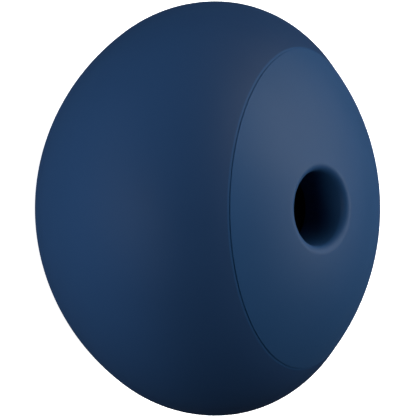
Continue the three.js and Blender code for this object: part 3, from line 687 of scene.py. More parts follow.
def base_shell():
    rim = SEAM_Z - SEAM_GAP / 2
    outside = base_section(0, SHELL_BOTTOM, rim - BASE_RIM_ROUND * 0.8)
    corner = base_section(0, SHELL_BOTTOM, rim)[-1]
    edge = rounded([(*outside[-1], 0), (*corner, BASE_RIM_ROUND), (MOUTH_R, rim, 0)])
    mouth = [(MOUTH_R, rim, 0.25 * MM), (MOUTH_R, LEDGE_Z, 0), (LEDGE_R, LEDGE_Z, 0.15 * MM)]
    mouth.append((LEDGE_R, LEDGE_Z - 1.3 * MM, 0.3 * MM))
    inside = base_section(BASE_WALL, SHELL_FLOOR, LEDGE_Z - 2.5 * MM, 0.4)[::-1]
    ledge = rounded([(22 * MM, rim, 0), *mouth, (*inside[0], 0)])[1:-1]
    foot_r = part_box("foot_pad")[1].x + 0.15 * MM
    foot = [(0, FOOT_SEAT, 0), (foot_r, FOOT_SEAT, 0.1 * MM)]
    foot += [(foot_r, SHELL_BOTTOM, 0.2 * MM), (*outside[2], 0)]
    outline = rounded(foot)[:-1] + outside[2:] + edge[1:-1] + ledge + inside + [(0, SHELL_FLOOR)]
    shell = turned("base_shell_skin", outline)
    bosses = pins(1.9 * MM, 31 * MM, LEDGE_Z - 0.01 * MM, TRAY_SCREWS)
    holes = pins(SCREW_HOLE_R, 31.6 * MM, 38 * MM, TRAY_SCREWS, segments=24)
    port = rear_cutter("port_cut", port_outline, PORT_Z)
    button = rear_cutter("button_cut", button_outline, BUTTON_Z, 0.2 * MM)
    return cut(join(shell, *bosses), port, button, *holes, hinge_room())


def in_well(points):
    matrix = np.array(WELL_MATRIX)
    return points @ matrix[:3, :3].T + matrix[:3, 3]


def ball_r(radius, z):
    """Radius at height z of a ball about the cap's centre."""
    return math.sqrt(radius**2 - (z - CAP_Z) ** 2)


def circle(radius, z):
    angles = np.arange(ROUND) * TURN / ROUND
    return np.stack([radius * np.cos(angles), radius * np.sin(angles), np.full(ROUND, z)], axis=1)


def ball_rings(radius, first, last, steps):
    """Rings on a ball about the cap's centre that pass smoothly from one circle on it to another.

    The circles are blended in a projection from the ball's lowest point, which keeps circles round."""
    centre = np.array((0, 0, CAP_Z))

    def flat(points):
        unit = (points - centre) / radius
        return unit[:, :2] / (1 + unit[:, 2:])

    start, end = flat(first), flat(last)
    rings = []
    for i in range(1, steps):
        ease = i / steps
        between = start * (1 - ease) + end * ease
        size = (between**2).sum(1, keepdims=True)
        unit = np.concatenate([2 * between, 1 - size], axis=1) / (1 + size)
        rings.append(centre + radius * unit)
    return rings


def lid_shell():
    rim = SEAM_Z + SEAM_GAP / 2
    inner = CAP_R - LID_WALL
    inner_r = ball_r(inner, rim)
    above = rim + LID_RIM_ROUND * 0.8
    edge = [(inner_r, rim, 0), (inner_r + 0.01 * MM, rim, 0)]
    edge += [(ball_r(CAP_R, rim), rim, LID_RIM_ROUND), (ball_r(CAP_R, above), above, 0)]
    rings = [circle(radius, z) for radius, z in rounded(edge)]

    # The lip: a fillet that touches both the ball's surface and the well's wall
    lip_r = WELL_R + WELL_LIP
    lip_z = math.sqrt((CAP_R - WELL_LIP) ** 2 - lip_r**2) - CAP_R
    lip_end = math.pi / 2 - math.asin(lip_r / (CAP_R - WELL_LIP))
    lip = arc(lip_r, lip_z, WELL_LIP, lip_end, math.pi, 20)
    wall = [(WELL_R, -2 * MM - i * 0.75 * MM) for i in range(1, 8)]
    seat = 0.3 * MM - WELL_DEPTH
    wall += [(WELL_R, seat), (WELL_R + GRIP_SEAT, seat), (WELL_R + GRIP_SEAT, -WELL_END)]
    tube_r = WELL_R + WELL_WALL
    tube_top = math.sqrt(inner**2 - tube_r**2) - CAP_R
    wall += [(tube_r, -WELL_END), (tube_r, tube_top)]
    well_rings = [in_well(circle(radius, z)) for radius, z in lip + wall]

    rings += ball_rings(CAP_R, rings[-1], well_rings[0], 60) + well_rings
    rings += ball_rings(inner, well_rings[-1], circle(inner_r, rim), 24)
    return cut(loop_surface("lid_shell_skin", rings), hinge_room())


def grip_insert():
    """A soft disc that closes the well, with shallow rings for the fingertip to hold."""
    top = -WELL_DEPTH
    low = top - GRIP_THICKNESS
    radius = WELL_R + GRIP_SEAT - 0.1 * MM
    groove = 0.12 * MM
    corners = [(0, low, 0), (radius, low, 0.15 * MM), (radius, top, 0.1 * MM)]
    for centre in (4.1, 3.1, 2.1, 1.1):
        for shift, depth in ((0.3, 0), (0.15, groove), (-0.15, groove), (-0.3, 0)):
            corners.append(((centre + shift) * MM, top - depth, 0.08 * MM))
    corners.append((0, top, 0))
    pad = turned("grip_insert_pad", rounded(corners, steps=3), 128)
    return place(pad, WELL_MATRIX)


def foot_pad():
    """A rubber disc with a shallow ring cut near its edge."""
    low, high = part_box("foot_pad")
    radius = high.x
    corners = [(0, low.z, 0)]
    for inset, depth in ((2, 0), (1.9, 0.15), (1.5, 0.15), (1.4, 0)):
        corners.append((radius - inset * MM, low.z + depth * MM, 0.05 * MM))
    corners += [(radius, low.z, 0.2 * MM), (radius, high.z, 0), (0, high.z, 0)]
    return turned("foot_pad_disc", rounded(corners), 160)


build(base_shell, navy)
build(lid_shell, navy_lid)
build(grip_insert, black_rubber)
build(foot_pad, black_rubber)

# ---- Screws


def screw(length, head_r, head_h, shaft_r):
    """A pan-head screw, head up, with its head's underside at z = 0, a cross recess and ridged threads."""
    crown = [(head_r, 0, 0.04 * MM), (head_r, head_h * 0.55, 0.12 * MM), (head_r * 0.62, head_h, 0.25 * MM)]
    ridges = [(0, -length)]
    pitch = 0.35 * MM
    for i in range(int((length - 0.4 * MM) / pitch), 0, -1):
        ridges += [(shaft_r * 0.84, -(i + 0.5) * pitch), (shaft_r, -i * pitch)]
    head = rounded([(shaft_r, 0, 0), *crown, (0, head_h, 0)])
    made = turned("screw", ridges + [(shaft_r, -0.15 * MM)] + head, 32)
    arm = head_r * 0.62
    slot_w = head_r * 0.13
    slot_low = head_h * 0.35
    for size in ((arm, slot_w), (slot_w, arm)):
        low = (-size[0], -size[1], slot_low)
        cut(made, block("recess", low, (*size, head_h + 1 * MM), 0.02 * MM, 0))
    return made


def add_screws(master, places, flip=None):
    """Copies of one screw at (node, x, y, z), each turned about its own axis and then by flip."""
    for index, (node, x, y, z) in enumerate(places):
        copy = new_object(f"{node}_body", [], [])
        copy.data = master.data.copy()
        turn = Matrix.Rotation(0.7 + 1.9 * index, 4, "Z")
        place(copy, Matrix.Translation((x, y, z)) @ (flip or Matrix.Identity(4)) @ turn)
        finish(copy, screw_steel, node)
    bpy.data.objects.remove(master)


UPSIDE_DOWN = Matrix.Rotation(math.pi, 4, "X")
HEAD_TO_FRONT = Matrix.Rotation(math.pi / 2, 4, "X")
HEAD_H = 0.6 * MM
LEAF_HEAD_H = 0.35 * MM


def head_up(names, head_h):
    return [(node, *middle(node)[:2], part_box(node)[1].z - head_h) for node in names]


def head_down(names, head_h):
    return [(node, *middle(node)[:2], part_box(node)[0].z + head_h) for node in names]


def head_to_front(names, head_h):
    return [(node, middle(node).x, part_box(node)[0].y + head_h, middle(node).z) for node in names]


def pair(name):
    return [f"{name}_{side}" for side, _ in SIDES]


MAIN_SCREW = (1.1 * MM, HEAD_H, 0.6 * MM)
LEAF_SCREW = (2.6 * MM, 0.9 * MM, LEAF_HEAD_H, 0.5 * MM)
upright_nodes = [f"tray_screw_{name}" for name in TRAY_SCREW_NAMES]
upright_nodes += ["board_screw_front", "board_screw_rear"]
add_screws(screw(4 * MM, *MAIN_SCREW), head_up(upright_nodes, HEAD_H))
add_screws(screw(*LEAF_SCREW), head_up(pair("hinge_base_screw"), LEAF_HEAD_H))
add_screws(screw(*LEAF_SCREW), head_down(pair("hinge_lid_screw"), LEAF_HEAD_H), UPSIDE_DOWN)
add_screws(screw(2.3 * MM, *MAIN_SCREW), head_down(pair("lid_screw"), HEAD_H), UPSIDE_DOWN)
add_screws(screw(3.4 * MM, *MAIN_SCREW), head_to_front(pair("port_screw"), HEAD_H), HEAD_TO_FRONT)

# ---- Cradle tray and gasket

POCKET_FLOOR_Z = 23.5 * MM
POCKET_FLOOR_R = 3.6 * MM
POCKET_BOWL_Z = 30.5 * MM
POCKET_WALL = 1.1 * MM
WELL_ROOM = 0.4 * MM  # free space round the well's tube
DISH_WALL = 1 * MM
CONTACT_HOLE_R = 0.75 * MM
SCREW_SEAT_R = 1.35 * MM
SCREW_SEAT_Z = 36.8 * MM
PIPE_R = 0.9 * MM
CONTACT_PITCH = 3 * MM
CONTACT_NAMES = [f"{side}_{end}" for side, _ in SIDES for end in ("front", "rear")]
CONTACTS = [(name, *middle(f"contact_pin_{name}")[:2]) for name in CONTACT_NAMES]
PIPE_Y = middle("light_pipe").y


def pocket_outline(wall, flare):
    """The pocket's section: a bowl, a straight wall, and a rounded lip where flare is given."""
    points = [(0, POCKET_FLOOR_Z - wall)]
    for turn in np.linspace(0, math.pi / 2, 15):
        rise = (POCKET_BOWL_Z - POCKET_FLOOR_Z + wall) * (1 - math.cos(turn))
        radius = POCKET_FLOOR_R + (POCKET_R - POCKET_FLOOR_R) * math.sin(turn) + wall
        points.append((radius, POCKET_FLOOR_Z - wall + rise))
    if not flare:
        return points + [(POCKET_R + wall, TRAY_TOP - 0.4 * MM), (0, TRAY_TOP - 0.4 * MM)]
    for grow, depth in rounding(flare, 6):
        points.append((POCKET_R + grow, TRAY_TOP + OVERCUT - depth))
    return points + [(POCKET_R + flare, TRAY_TOP + MM), (0, TRAY_TOP + MM)]


def in_pockets(outline, segments):
    return [moved(turned("pocket", outline, segments), x, y) for x, y in POCKETS]


def tilted_disc(radius, z0, z1, edge=0.0):
    return place(disc("tilted", radius, z0, z1, edge), WELL_MATRIX)


def cradle_tray():
    leaf_x, leaf_y = middle("hinge_base_screw_right")[:2]
    leaf_places = [(-leaf_x, leaf_y), (leaf_x, leaf_y)]
    tray = disc("cradle_tray_moulding", TRAY_R, TRAY_TOP - 1.6 * MM, TRAY_TOP, 0.25 * MM, 192)
    cups = in_pockets(pocket_outline(POCKET_WALL, 0), 96)
    bosses = pins(1.6 * MM, 32.5 * MM, TRAY_TOP - 0.4 * MM, leaf_places)
    dish_gap = WELL_ROOM + DISH_WALL
    dish = tilted_disc(WELL_R + WELL_WALL + dish_gap, -WELL_END - dish_gap, -7.4 * MM, 0.3 * MM)
    dish_low = (-12 * MM, -20 * MM, 30 * MM)
    dish_high = (12 * MM, 6 * MM, TRAY_TOP - 0.3 * MM)
    join(tray, *cups, *bosses, keep(dish, block("keep", dish_low, dish_high, 0.1 * MM, 0)))

    well_room = tilted_disc(WELL_R + WELL_WALL + WELL_ROOM, -WELL_END - WELL_ROOM, 0, 0.3 * MM)
    hollows = in_pockets(pocket_outline(0, 0.7 * MM), 128)
    contacts = pins(CONTACT_HOLE_R, 20 * MM, 26 * MM, [(x, y) for _, x, y in CONTACTS])
    leaf_holes = pins(0.7 * MM, 33 * MM, 39 * MM, leaf_places)
    shafts = pins(SCREW_HOLE_R, 35 * MM, 39 * MM, TRAY_SCREWS)
    seats = pins(SCREW_SEAT_R, SCREW_SEAT_Z, 39 * MM, TRAY_SCREWS)
    pipe_hole = pins(PIPE_R + 0.15 * MM, 35 * MM, 39 * MM, [(0, PIPE_Y)])
    return cut(tray, well_room, *hollows, *contacts, *leaf_holes, *shafts, *seats, *pipe_hole, hinge_room())


def lid_gasket():
    """A soft bead with a round top that the closed lid presses on."""
    low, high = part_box("lid_gasket")
    outer, inner = high.x, high.x - 1 * MM
    corners = [(inner, low.z, 0.05 * MM), (outer, low.z, 0.05 * MM)]
    corners += [(outer, high.z, 0.3 * MM), (inner, high.z, 0.3 * MM)]
    return cut(turned("lid_gasket_bead", rounded(corners, closed=True)), hinge_room())


build(cradle_tray, black_gloss)
build(lid_gasket, silicone)

# ---- Earbud contacts, magnets and light


def boxed(node, suffix, corner=0.2 * MM, edge=0.12 * MM):
    """A rounded block in the place of a CAD box."""
    return block(f"{node}_{suffix}", *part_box(node), corner, edge)


def contact_block(side, sign):
    places = [(sign * POCKET_X, POCKET_Y + half * CONTACT_PITCH) for half in (-0.5, 0.5)]
    made = boxed(f"contact_block_{side}", "moulding", 0.5 * MM, 0.15 * MM)
    return cut(made, *pins(1.1 * MM, 18 * MM, 24 * MM, places))


def contact_pin(node):
    low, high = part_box(node)
    collar = low.z + 0.7 * MM
    corners = [(0, low.z, 0), (0.85 * MM, low.z, 0.08 * MM), (0.85 * MM, collar, 0.08 * MM)]
    corners += [(0.55 * MM, collar, 0.05 * MM), (0.55 * MM, high.z, 0.42 * MM), (0, high.z, 0)]
    return moved(turned(f"{node}_plated", rounded(corners, steps=8), 40), *middle(node)[:2])


def tube(name, points, radius, sides=8):
    """A round wire along a path of points, with a flat cap at each end."""
    ahead = np.gradient(points, axis=0)
    ahead /= np.linalg.norm(ahead, axis=1, keepdims=True)
    level = np.cross(ahead, (0, 0, 1))
    level /= np.linalg.norm(level, axis=1, keepdims=True)
    rise = np.cross(level, ahead)
    rings = []
    for point, across, up in zip(points, level, rise):
        turns = np.arange(sides) * TURN / sides
        rings.append(point + radius * (np.outer(np.cos(turns), across) + np.outer(np.sin(turns), up)))
    return loft(name, rings)


def coil(start, end, turns, per_turn):
    """A path round the Z axis that runs evenly from one (radius, z) to the other."""
    share = np.linspace(0, 1, turns * per_turn + 1)
    radius, z = (low + (high - low) * share for low, high in zip(start, end))
    angle = turns * TURN * share
    return np.stack([radius * np.cos(angle), radius * np.sin(angle), z], axis=1)


def spring(node, x, y):
    low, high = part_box(node)
    wire = 0.12 * MM
    radius = 0.65 * MM
    path = coil((radius, low.z + wire), (radius, high.z - wire), 3, 32)
    return tube(f"{node}_coil", path + (x, y, 0), wire)


for side, sign in SIDES:
    finish(contact_block(side, sign), black_matte, f"contact_block_{side}")
    node = f"bud_magnet_{side}"
    low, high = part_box(node)
    magnet = moved(disc(f"{node}_plated", 1.5 * MM, low.z, high.z, 0.15 * MM, 64), *middle(node)[:2])
    finish(magnet, nickel, node)
for name, x, y in CONTACTS:
    finish(contact_pin(f"contact_pin_{name}"), gold, f"contact_pin_{name}")
    node = f"contact_spring_{name}"
    piece = finish(spring(node, x, y), screw_steel, node)
    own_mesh(piece)


def light_pipe():
    low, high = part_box("light_pipe")
    corners = [(0, low.z, 0), (PIPE_R, low.z, 0.05 * MM), (PIPE_R, high.z, 0.35 * MM), (0, high.z, 0)]
    return moved(turned("light_pipe_rod", rounded(corners, steps=8), 64), 0, PIPE_Y)


def status_led():
    low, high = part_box("status_led")
    body = block("status_led_lens", low, (high.x, high.y, low.z + 0.4 * MM), 0.1 * MM, 0.05 * MM)
    height = high.z - low.z
    corners = [(0, 0, 0), (0.42 * MM, 0, 0), (0.42 * MM, height, 0.3 * MM), (0, height, 0)]
    return join(body, moved(turned("lens", rounded(corners), 48), 0, PIPE_Y, low.z))


build(light_pipe, clear)
build(status_led, clear)
finish(boxed("base_magnet", "plated", 0.4 * MM), nickel, "base_magnet")
finish(boxed("lid_magnet", "plated", 0.4 * MM, 0.08 * MM), nickel, "lid_magnet")
finish(boxed("hall_sensor", "package", 0.08 * MM, 0.06 * MM), black_matte, "hall_sensor")

# ---- Hinge

LEAF_THICKNESS = 1 * MM
LEAF_REAR_Y = HINGE_Y - BARREL_R - 0.5 * MM
BASE_LEAF_Z = LEAF_LOW.z
LID_LEAF_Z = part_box("hinge_lid_leaf")[1].z - LEAF_THICKNESS
OUTER_KNUCKLE = 4.1 * MM
CENTRE_KNUCKLE = 3.3 * MM
PIN_BORE_R = 0.72 * MM


def on_hinge(obj):
    return along_x(obj, HINGE_Y, HINGE_Z)


def hinge_leaf(node, z0, seat_low, seat_high, knuckles):
    """A plate with two counterbored screw holes, and its knuckles on arms a hair smaller than both."""
    corners = [(-HINGE_HALF, LEAF_FRONT_Y, 1.1 * MM), (HINGE_HALF, LEAF_FRONT_Y, 1.1 * MM)]
    corners += [(HINGE_HALF, LEAF_REAR_Y, 0.15 * MM), (-HINGE_HALF, LEAF_REAR_Y, 0.15 * MM)]
    plate = prism(f"{node}_plate", rounded(corners, closed=True, steps=6), z0, z0 + LEAF_THICKNESS)
    places = [middle(name)[:2] for name in pair("hinge_base_screw")]
    holes = pins(0.6 * MM, z0 - MM, z0 + 2 * MM, places)
    cut(plate, *holes, *pins(1 * MM, z0 + seat_low, z0 + seat_high, places))
    inset = 0.04 * MM
    for x0, x1 in knuckles:
        arm_low = (x0 + inset, LEAF_REAR_Y - 0.4 * MM, z0 + inset)
        arm = block("arm", arm_low, (x1 - inset, HINGE_Y, z0 + LEAF_THICKNESS - inset), 0.05 * MM, 0)
        join(plate, arm, on_hinge(disc("knuckle", BARREL_R, x0, x1, 0.12 * MM)))
    return cut(plate, on_hinge(disc("bore", PIN_BORE_R, -9 * MM, 9 * MM, 0, 48)))


def hinge_base_leaf():
    ends = [(-HINGE_HALF, -OUTER_KNUCKLE), (OUTER_KNUCKLE, HINGE_HALF)]
    return hinge_leaf("hinge_base_leaf", BASE_LEAF_Z, 0.4 * MM, 2 * MM, ends)


def hinge_lid_leaf():
    ends = [(-CENTRE_KNUCKLE, CENTRE_KNUCKLE)]
    return hinge_leaf("hinge_lid_leaf", LID_LEAF_Z, -MM, 0.6 * MM, ends)


def hinge_washer(node):
    low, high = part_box(node)
    return on_hinge(ring(f"{node}_disc", PIN_BORE_R, 1.4 * MM, low.x, high.x, 0.06 * MM, 64))


def hinge_pin():
    low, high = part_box("hinge_pin")
    return on_hinge(disc("hinge_pin_rod", 0.6 * MM, low.x, high.x, 0.2 * MM, 48))


build(hinge_base_leaf, steel)
build(hinge_lid_leaf, steel)
build(hinge_pin, screw_steel)
for node in pair("hinge_washer"):
    finish(hinge_washer(node), black_matte, node)

# ---- Lid lining

LINER_Z = 38.6 * MM
RECESS_TOP = 42.4 * MM
LINER_DOME = 43.3 * MM


def cap_ball(radius):
    outline = arc(0, CAP_Z, radius, -math.pi / 2, math.pi / 2, 96)
    return turned("ball", [(0, CAP_Z - radius), *outline[1:-1], (0, CAP_Z + radius)], 128)


def recess_outline(top, flare):
    """A round recess open at the liner's plate, with a rounded mouth and a rounded ceiling."""
    mouth = [(0, LINER_Z - MM), (POCKET_R + flare, LINER_Z - MM)]
    mouth += [(POCKET_R + grow, LINER_Z - OVERCUT + depth) for grow, depth in rounding(flare, 6)[::-1]]
    return mouth + rounded([(POCKET_R, LINER_Z + flare, 0), (POCKET_R, top, 1 * MM), (0, top, 0)])[1:]


def lid_liner():
    inner = CAP_R - LID_WALL - 0.3 * MM
    cover = disc("lid_liner_moulding", 22 * MM, LINER_Z, LINER_Z + 0.8 * MM, 0.1 * MM, 192)
    domes = pins(POCKET_R + 0.9 * MM, LINER_Z + 0.1 * MM, LINER_DOME, POCKETS, 0.6 * MM, 96)
    keep(join(cover, *domes), cap_ball(inner))
    recesses = in_pockets(recess_outline(RECESS_TOP, 0.6 * MM), 128)
    hollows = [keep(recess, cap_ball(inner - 1 * MM)) for recess in recesses]
    holes = pins(SCREW_HOLE_R, 42 * MM, 44 * MM, POCKETS)
    well_room = tilted_disc(WELL_R + WELL_WALL + 0.2 * MM, -WELL_END - 2 * MM, 0)
    return cut(cover, *hollows, *holes, well_room, hinge_room())


def lid_pad(side, sign):
    """A soft pad with a crowned face and a back that follows the dome."""
    low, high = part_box(f"lid_pad_{side}")
    radius = 4.55 * MM
    corners = [(0, low.z, 0), (radius * 0.6, low.z + 0.05 * MM, 1 * MM)]
    corners += [(radius, low.z + 0.25 * MM, 0.2 * MM), (radius, high.z, 0.15 * MM), (0, high.z, 0)]
    pad = moved(turned(f"lid_pad_{side}_cushion", rounded(corners), 96), sign * POCKET_X, POCKET_Y)
    return keep(pad, cap_ball(CAP_R - 3.1 * MM))


build(lid_liner, black_gloss)
for side, sign in SIDES:
    finish(lid_pad(side, sign), silicone, f"lid_pad_{side}")

# ---- Charging port and pairing button


def port_bezel():
    """A slot-shaped sleeve whose front face follows the case's surface."""

    def outline(grow):
        return slot_outline(5.6 * MM + grow, 2.75 * MM + grow)

    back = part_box("port_bezel")[0].y
    wall = 0.8 * MM
    face = 0.1 * MM
    rings = [rear_ring(outline(0), PORT_Z, y=back)]
    rings += [rear_ring(outline(-grow), PORT_Z, depth=face + depth) for grow, depth in rounding(0.1 * MM)]
    for grow, depth in rounding(0.35 * MM, 6)[::-1]:
        rings.append(rear_ring(outline(grow - wall), PORT_Z, depth=face + depth))
    rings.append(rear_ring(outline(-wall), PORT_Z, y=back))
    return loop_surface("port_bezel_sleeve", rings)


def usb_receptacle():
    """A plated shell, closed at its back, with its front edge rolled over."""
    back, front = (corner.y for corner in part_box("usb_receptacle"))

    def ring_at(inset, y):
        return rear_ring(slot_outline(4.47 * MM - inset, 1.63 * MM - inset), PORT_Z, y=y)

    rings = [ring_at(0.1 * MM, back), ring_at(0, back + 0.1 * MM)]
    rings += [ring_at(inset, front - depth) for inset, depth in rounding(0.12 * MM)]
    rings += [ring_at(0.3 * MM - inset, front - depth) for inset, depth in rounding(0.12 * MM)[::-1]]
    rings.append(ring_at(0.3 * MM, back + 0.6 * MM))
    return loft("usb_receptacle_shell", rings)


def blocks(name, boxes, corner=0.03 * MM, edge=0.02 * MM):
    """Several small rounded blocks as one mesh."""
    return gather(*[block(name, low, high, corner, edge) for low, high in boxes])


def tongue_contacts():
    """Twelve plated strips on each side of the tongue."""
    low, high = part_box("usb_tongue")
    boxes = []
    count, pitch, half_width, half_height = 12, 0.5 * MM, 0.14 * MM, 0.03 * MM
    for i in range(count):
        x = (i - (count - 1) / 2) * pitch
        for z in (high.z, low.z):
            strip_low = (x - half_width, low.y + 0.6 * MM, z - half_height)
            boxes.append((strip_low, (x + half_width, high.y - 0.4 * MM, z + half_height)))
    return blocks("usb_tongue_contacts", boxes)


def pairing_button():
    """A cap that follows the case's surface, with a shallow dish for the fingertip, a flange and a stem."""
    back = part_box("pairing_button")[0].y
    flange = 26.4 * MM
    flange_top = flange + 0.8 * MM
    face = 0.12 * MM

    def ring_of(radius, **place_of):
        return rear_ring(circle_outline(radius), BUTTON_Z, **place_of)

    rings = [ring_of(0.9 * MM, y=back), ring_of(1 * MM, y=back + 0.1 * MM), ring_of(1 * MM, y=flange)]
    rings += [ring_of(2.8 * MM, y=flange), ring_of(2.8 * MM, y=flange_top), ring_of(BUTTON_R, y=flange_top)]
    rings += [ring_of(BUTTON_R - grow, depth=face + depth) for grow, depth in rounding(0.2 * MM)]
    for share, dip in ((0.8, 0.02), (0.68, 0.08), (0.55, 0.15), (0.4, 0.2), (0.25, 0.23), (0.1, 0.24)):
        rings.append(ring_of(BUTTON_R * share, depth=face + dip * MM))
    return loft("pairing_button_cap", rings)


def button_switch():
    low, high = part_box("button_switch")
    can = block("button_switch_can", low, (high.x, high.y - 0.35 * MM, high.z), 0.1 * MM)
    dome = along_y(disc("dome", 0.9 * MM, high.y - 0.5 * MM, high.y, 0.15 * MM, 48), 0, BUTTON_Z)
    return join(can, dome)


def port_board():
    holes = []
    for name in pair("port_screw"):
        hole = disc("hole", SCREW_HOLE_R, 20 * MM, 24 * MM, 0, 32)
        holes.append(along_y(hole, middle(name).x, middle(name).z))
    return cut(boxed("port_board", "laminate", 0.05 * MM, 0), *holes)


def flex_cable():
    """A thin film that lies on the main board and bends up the port board."""
    low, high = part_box("flex_cable")
    thick = 0.3 * MM
    corners = [(low.y, low.z, 0), (high.y, low.z, 0.8 * MM), (high.y, high.z, 0), (high.y - thick, high.z, 0)]
    corners += [(high.y - thick, low.z + thick, 0.5 * MM), (low.y, low.z + thick, 0)]
    strip = prism("flex_cable_film", rounded(corners, closed=True, steps=8), low.x, high.x, 0)
    return place(strip, Matrix(((0, 0, 1, 0), (1, 0, 0, 0), (0, 1, 0, 0), (0, 0, 0, 1))))


build(port_bezel, black_gloss)
build(usb_receptacle, nickel)
finish(boxed("usb_tongue", "moulding", 0.3 * MM, 0.08 * MM), black_matte, "usb_tongue")
finish(tongue_contacts(), gold, body="base")
build(pairing_button, navy)
build(button_switch, screw_steel)
build(port_board, board)
build(flex_cable, flex)

# ---- Battery, boards and charging

BOARD_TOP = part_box("main_board")[1].z
BOARD_SCREWS = [middle(f"board_screw_{end}")[:2] for end in ("front", "rear")]


def main_board():
    low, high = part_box("main_board")
    plate = disc("main_board_laminate", high.x, low.z, high.z, 0.05 * MM, 160)
    return cut(plate, *pins(SCREW_HOLE_R, 15 * MM, 17 * MM, BOARD_SCREWS))


def on_board(places):
    """Boxes standing on the main board, from (x, y, width, depth, height) in millimetres."""
    boxes = []
    for x, y, width, depth, height in places:
        low = ((x - width / 2) * MM, (y - depth / 2) * MM, BOARD_TOP)
        boxes.append((low, ((x + width / 2) * MM, (y + depth / 2) * MM, BOARD_TOP + height * MM)))
    return boxes


def charge_coil():
    """Enamelled wire wound flat in two layers."""
    low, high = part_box("charge_coil")
    wire = 0.19 * MM
    layers = []
    for z in (low.z + wire, high.z - wire):
        path = coil((4.75 * MM, z), (high.x - wire, z), 11, 48)
        layers.append(tube("charge_coil_winding", path, wire, 6))
    return gather(*layers)


def chassis():
    low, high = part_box("chassis")
    plate_top = low.z + 1 * MM
    post_x, post_y = BOARD_SCREWS[0]
    posts = [(x * post_x, y * post_y) for x in (1, -1) for y in (1, -1)]
    plate = disc("chassis_plate", high.x, low.z, plate_top, 0.15 * MM, 128)
    join(plate, *pins(1.4 * MM, low.z + 0.3 * MM, high.z, posts, 0.1 * MM))
    window = block("window", (-5 * MM, -5 * MM, 3 * MM), (5 * MM, 5 * MM, 7 * MM), 1 * MM, 0)
    return cut(plate, window, *pins(SCREW_HOLE_R, 10 * MM, 16 * MM, BOARD_SCREWS))


build(main_board, board)
chips = [(0, -1, 6, 6, 0.9), (-5.5, 5.5, 3, 3, 0.8), (5.6, 5.2, 2.6, 3.4, 0.8), (0, -13, 5, 3, 0.9)]
finish(blocks("board_chips", on_board(chips), 0.1 * MM, 0.06 * MM), black_matte, body="base")
parts = [(-4.6 + 1.3 * i, -6.2, 0.6, 1, 0.5) for i in range(8)]
parts += [(5 + 1.2 * i, -14, 0.7, 1.2, 0.6) for i in range(3)]
parts += [(-9 + 1.2 * i, -11.5, 0.6, 1, 0.5) for i in range(2)]
finish(blocks("board_capacitors", on_board(parts), 0.06 * MM, 0.05 * MM), nickel, body="base")
build(charge_coil, copper)
ferrite_low, ferrite_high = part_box("ferrite_sheet")
sheet = disc("ferrite_disc", ferrite_high.x, ferrite_low.z, ferrite_high.z, 0.06 * MM, 128)
finish(sheet, ferrite, "ferrite_sheet")
build(chassis, black_matte)
finish(boxed("battery", "pouch", 2 * MM, 0.9 * MM), pouch, "battery")
cushion = finish(boxed("battery_foam", "block", 0.6 * MM, 0.2 * MM), foam, "battery_foam")

# ---- Floor, lights and camera

VIEW_ELEVATION = math.radians(26.5)
LENS_DISTANCE = 2.2
SENSOR = 36
VIEW_WIDTH = 60.2 * MM  # how much of the scene the picture takes in at the case's middle
AIM_RIGHT = -0.3 * MM
AIM_UP = 0.07 * MM
CENTRE = Vector((0, 0, (cad_bounds[0][2] + cad_bounds[1][2]) / 2))

# The camera looks along +Y, and is rolled a quarter: the case's top points to the picture's right
TOWARD = Vector((0, -math.cos(VIEW_ELEVATION), math.sin(VIEW_ELEVATION)))
PICTURE_UP = Vector((-1, 0, 0))
PICTURE_RIGHT = PICTURE_UP.cross(TOWARD)


def add_camera():
    data = bpy.data.cameras.new("camera")
    camera = bpy.data.objects.new("camera", data)
    bpy.context.scene.collection.objects.link(camera)
    turn = Matrix((PICTURE_RIGHT, PICTURE_UP, TOWARD)).transposed().to_4x4()
    aim = CENTRE + PICTURE_RIGHT * AIM_RIGHT + PICTURE_UP * AIM_UP
    camera.matrix_world = Matrix.Translation(aim + TOWARD * LENS_DISTANCE) @ turn
    data.sensor_width = SENSOR
    data.lens = SENSOR * LENS_DISTANCE / VIEW_WIDTH
    data.clip_start = 0.01
    data.clip_end = 20
    bpy.context.scene.camera = camera


def add_area_light(name, direction, power, glints):
    """A round soft box seen from the case in the given (right, up, toward) direction of the picture."""
    data = bpy.data.lights.new(name, "AREA")
    data.shape = "DISK"
    data.size = LIGHT_SIZE
    data.energy = power
    light = bpy.data.objects.new(name, data)
    bpy.context.scene.collection.objects.link(light)
    right, up, toward = direction
    way = (PICTURE_RIGHT * right + PICTURE_UP * up + TOWARD * toward).normalized()
    light.location = CENTRE + way * LIGHT_DISTANCE
    light.rotation_euler = way.to_track_quat("Z", "Y").to_euler()
    light.visible_camera = False
    light.visible_glossy = glints


LIGHT_DISTANCE = 0.75
LIGHT_SIZE = 0.5
AMBIENT = 0.03
BACKDROP = 1.05

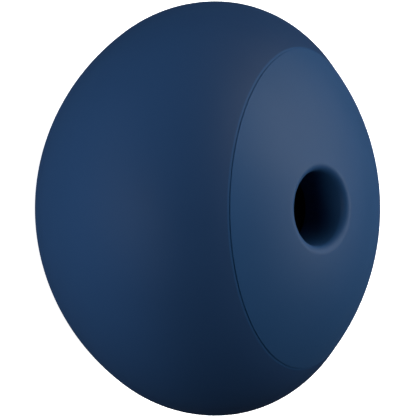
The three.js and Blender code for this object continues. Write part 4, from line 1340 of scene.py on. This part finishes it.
# Name, direction, watts, and whether it shows in glossy surfaces. The soft fills don't.
LIGHTS = (
    ("over_lid", (1, 0, 0), 2.9, True),
    ("lid_high_front", (0.8, 0.5, 0.3), 3.2, True),
    ("lid_high_rear", (0.8, 0.5, -0.3), 0.7, True),
    ("lid_high_fill", (0.8, 0.5, -0.4), 1.8, False),
    ("high", (0.5, 0.85, 0), 1.6, False),
    ("lid_rear", (0.85, 0, -0.5), 0.3, False),
    ("rear_fill", (0.1, 0, -1), 2, False),
    ("front", (-0.5, -0.1, 0.8), 1.2, True),
    ("front_fill", (-0.5, -0.3, 0.8), 2, False),
    ("belly_high", (-0.8, 0.5, 0.3), 3.6, False),
    ("belly_front", (-0.85, 0, 0.5), 2.8, False),
)

add_camera()
for light in LIGHTS:
    add_area_light(*light)


def add_world():
    """White behind the object, with only a little of that light falling on it."""
    world = bpy.data.worlds.new("studio")
    world.use_nodes = True
    tree = world.node_tree
    path = tree.nodes.new("ShaderNodeLightPath")
    mix = tree.nodes.new("ShaderNodeMixShader")
    backgrounds = (tree.nodes["Background"], tree.nodes.new("ShaderNodeBackground"))
    for made, strength, socket in zip(backgrounds, (AMBIENT, BACKDROP), mix.inputs[1:]):
        made.inputs["Color"].default_value = (1, 1, 1, 1)
        made.inputs["Strength"].default_value = strength
        tree.links.new(made.outputs[0], socket)
    tree.links.new(path.outputs["Is Camera Ray"], mix.inputs[0])
    tree.links.new(mix.outputs[0], tree.nodes["World Output"].inputs[0])
    bpy.context.scene.world = world


FLOOR_R = 6.0
FLOOR_THICKNESS = 0.01


def add_floor():
    """A plain white floor that takes hardly any shadow and lets the low lights through."""
    outline = [(0, 0), (FLOOR_R, 0), (FLOOR_R, -FLOOR_THICKNESS), (0, -FLOOR_THICKNESS)]
    floor = turned("floor", outline, 64)
    paint = Shader("floor_paint", (0.8, 0.8, 0.8), 1.0, Emission_Strength=0.98)
    paint.surface.inputs["Emission Color"].default_value = (1, 1, 1, 1)
    floor.data.materials.append(paint.material)
    floor.visible_diffuse = False
    floor.visible_glossy = False
    floor.visible_transmission = False
    floor.visible_shadow = False


add_world()
add_floor()
bpy.context.scene.view_settings.view_transform = "Standard"
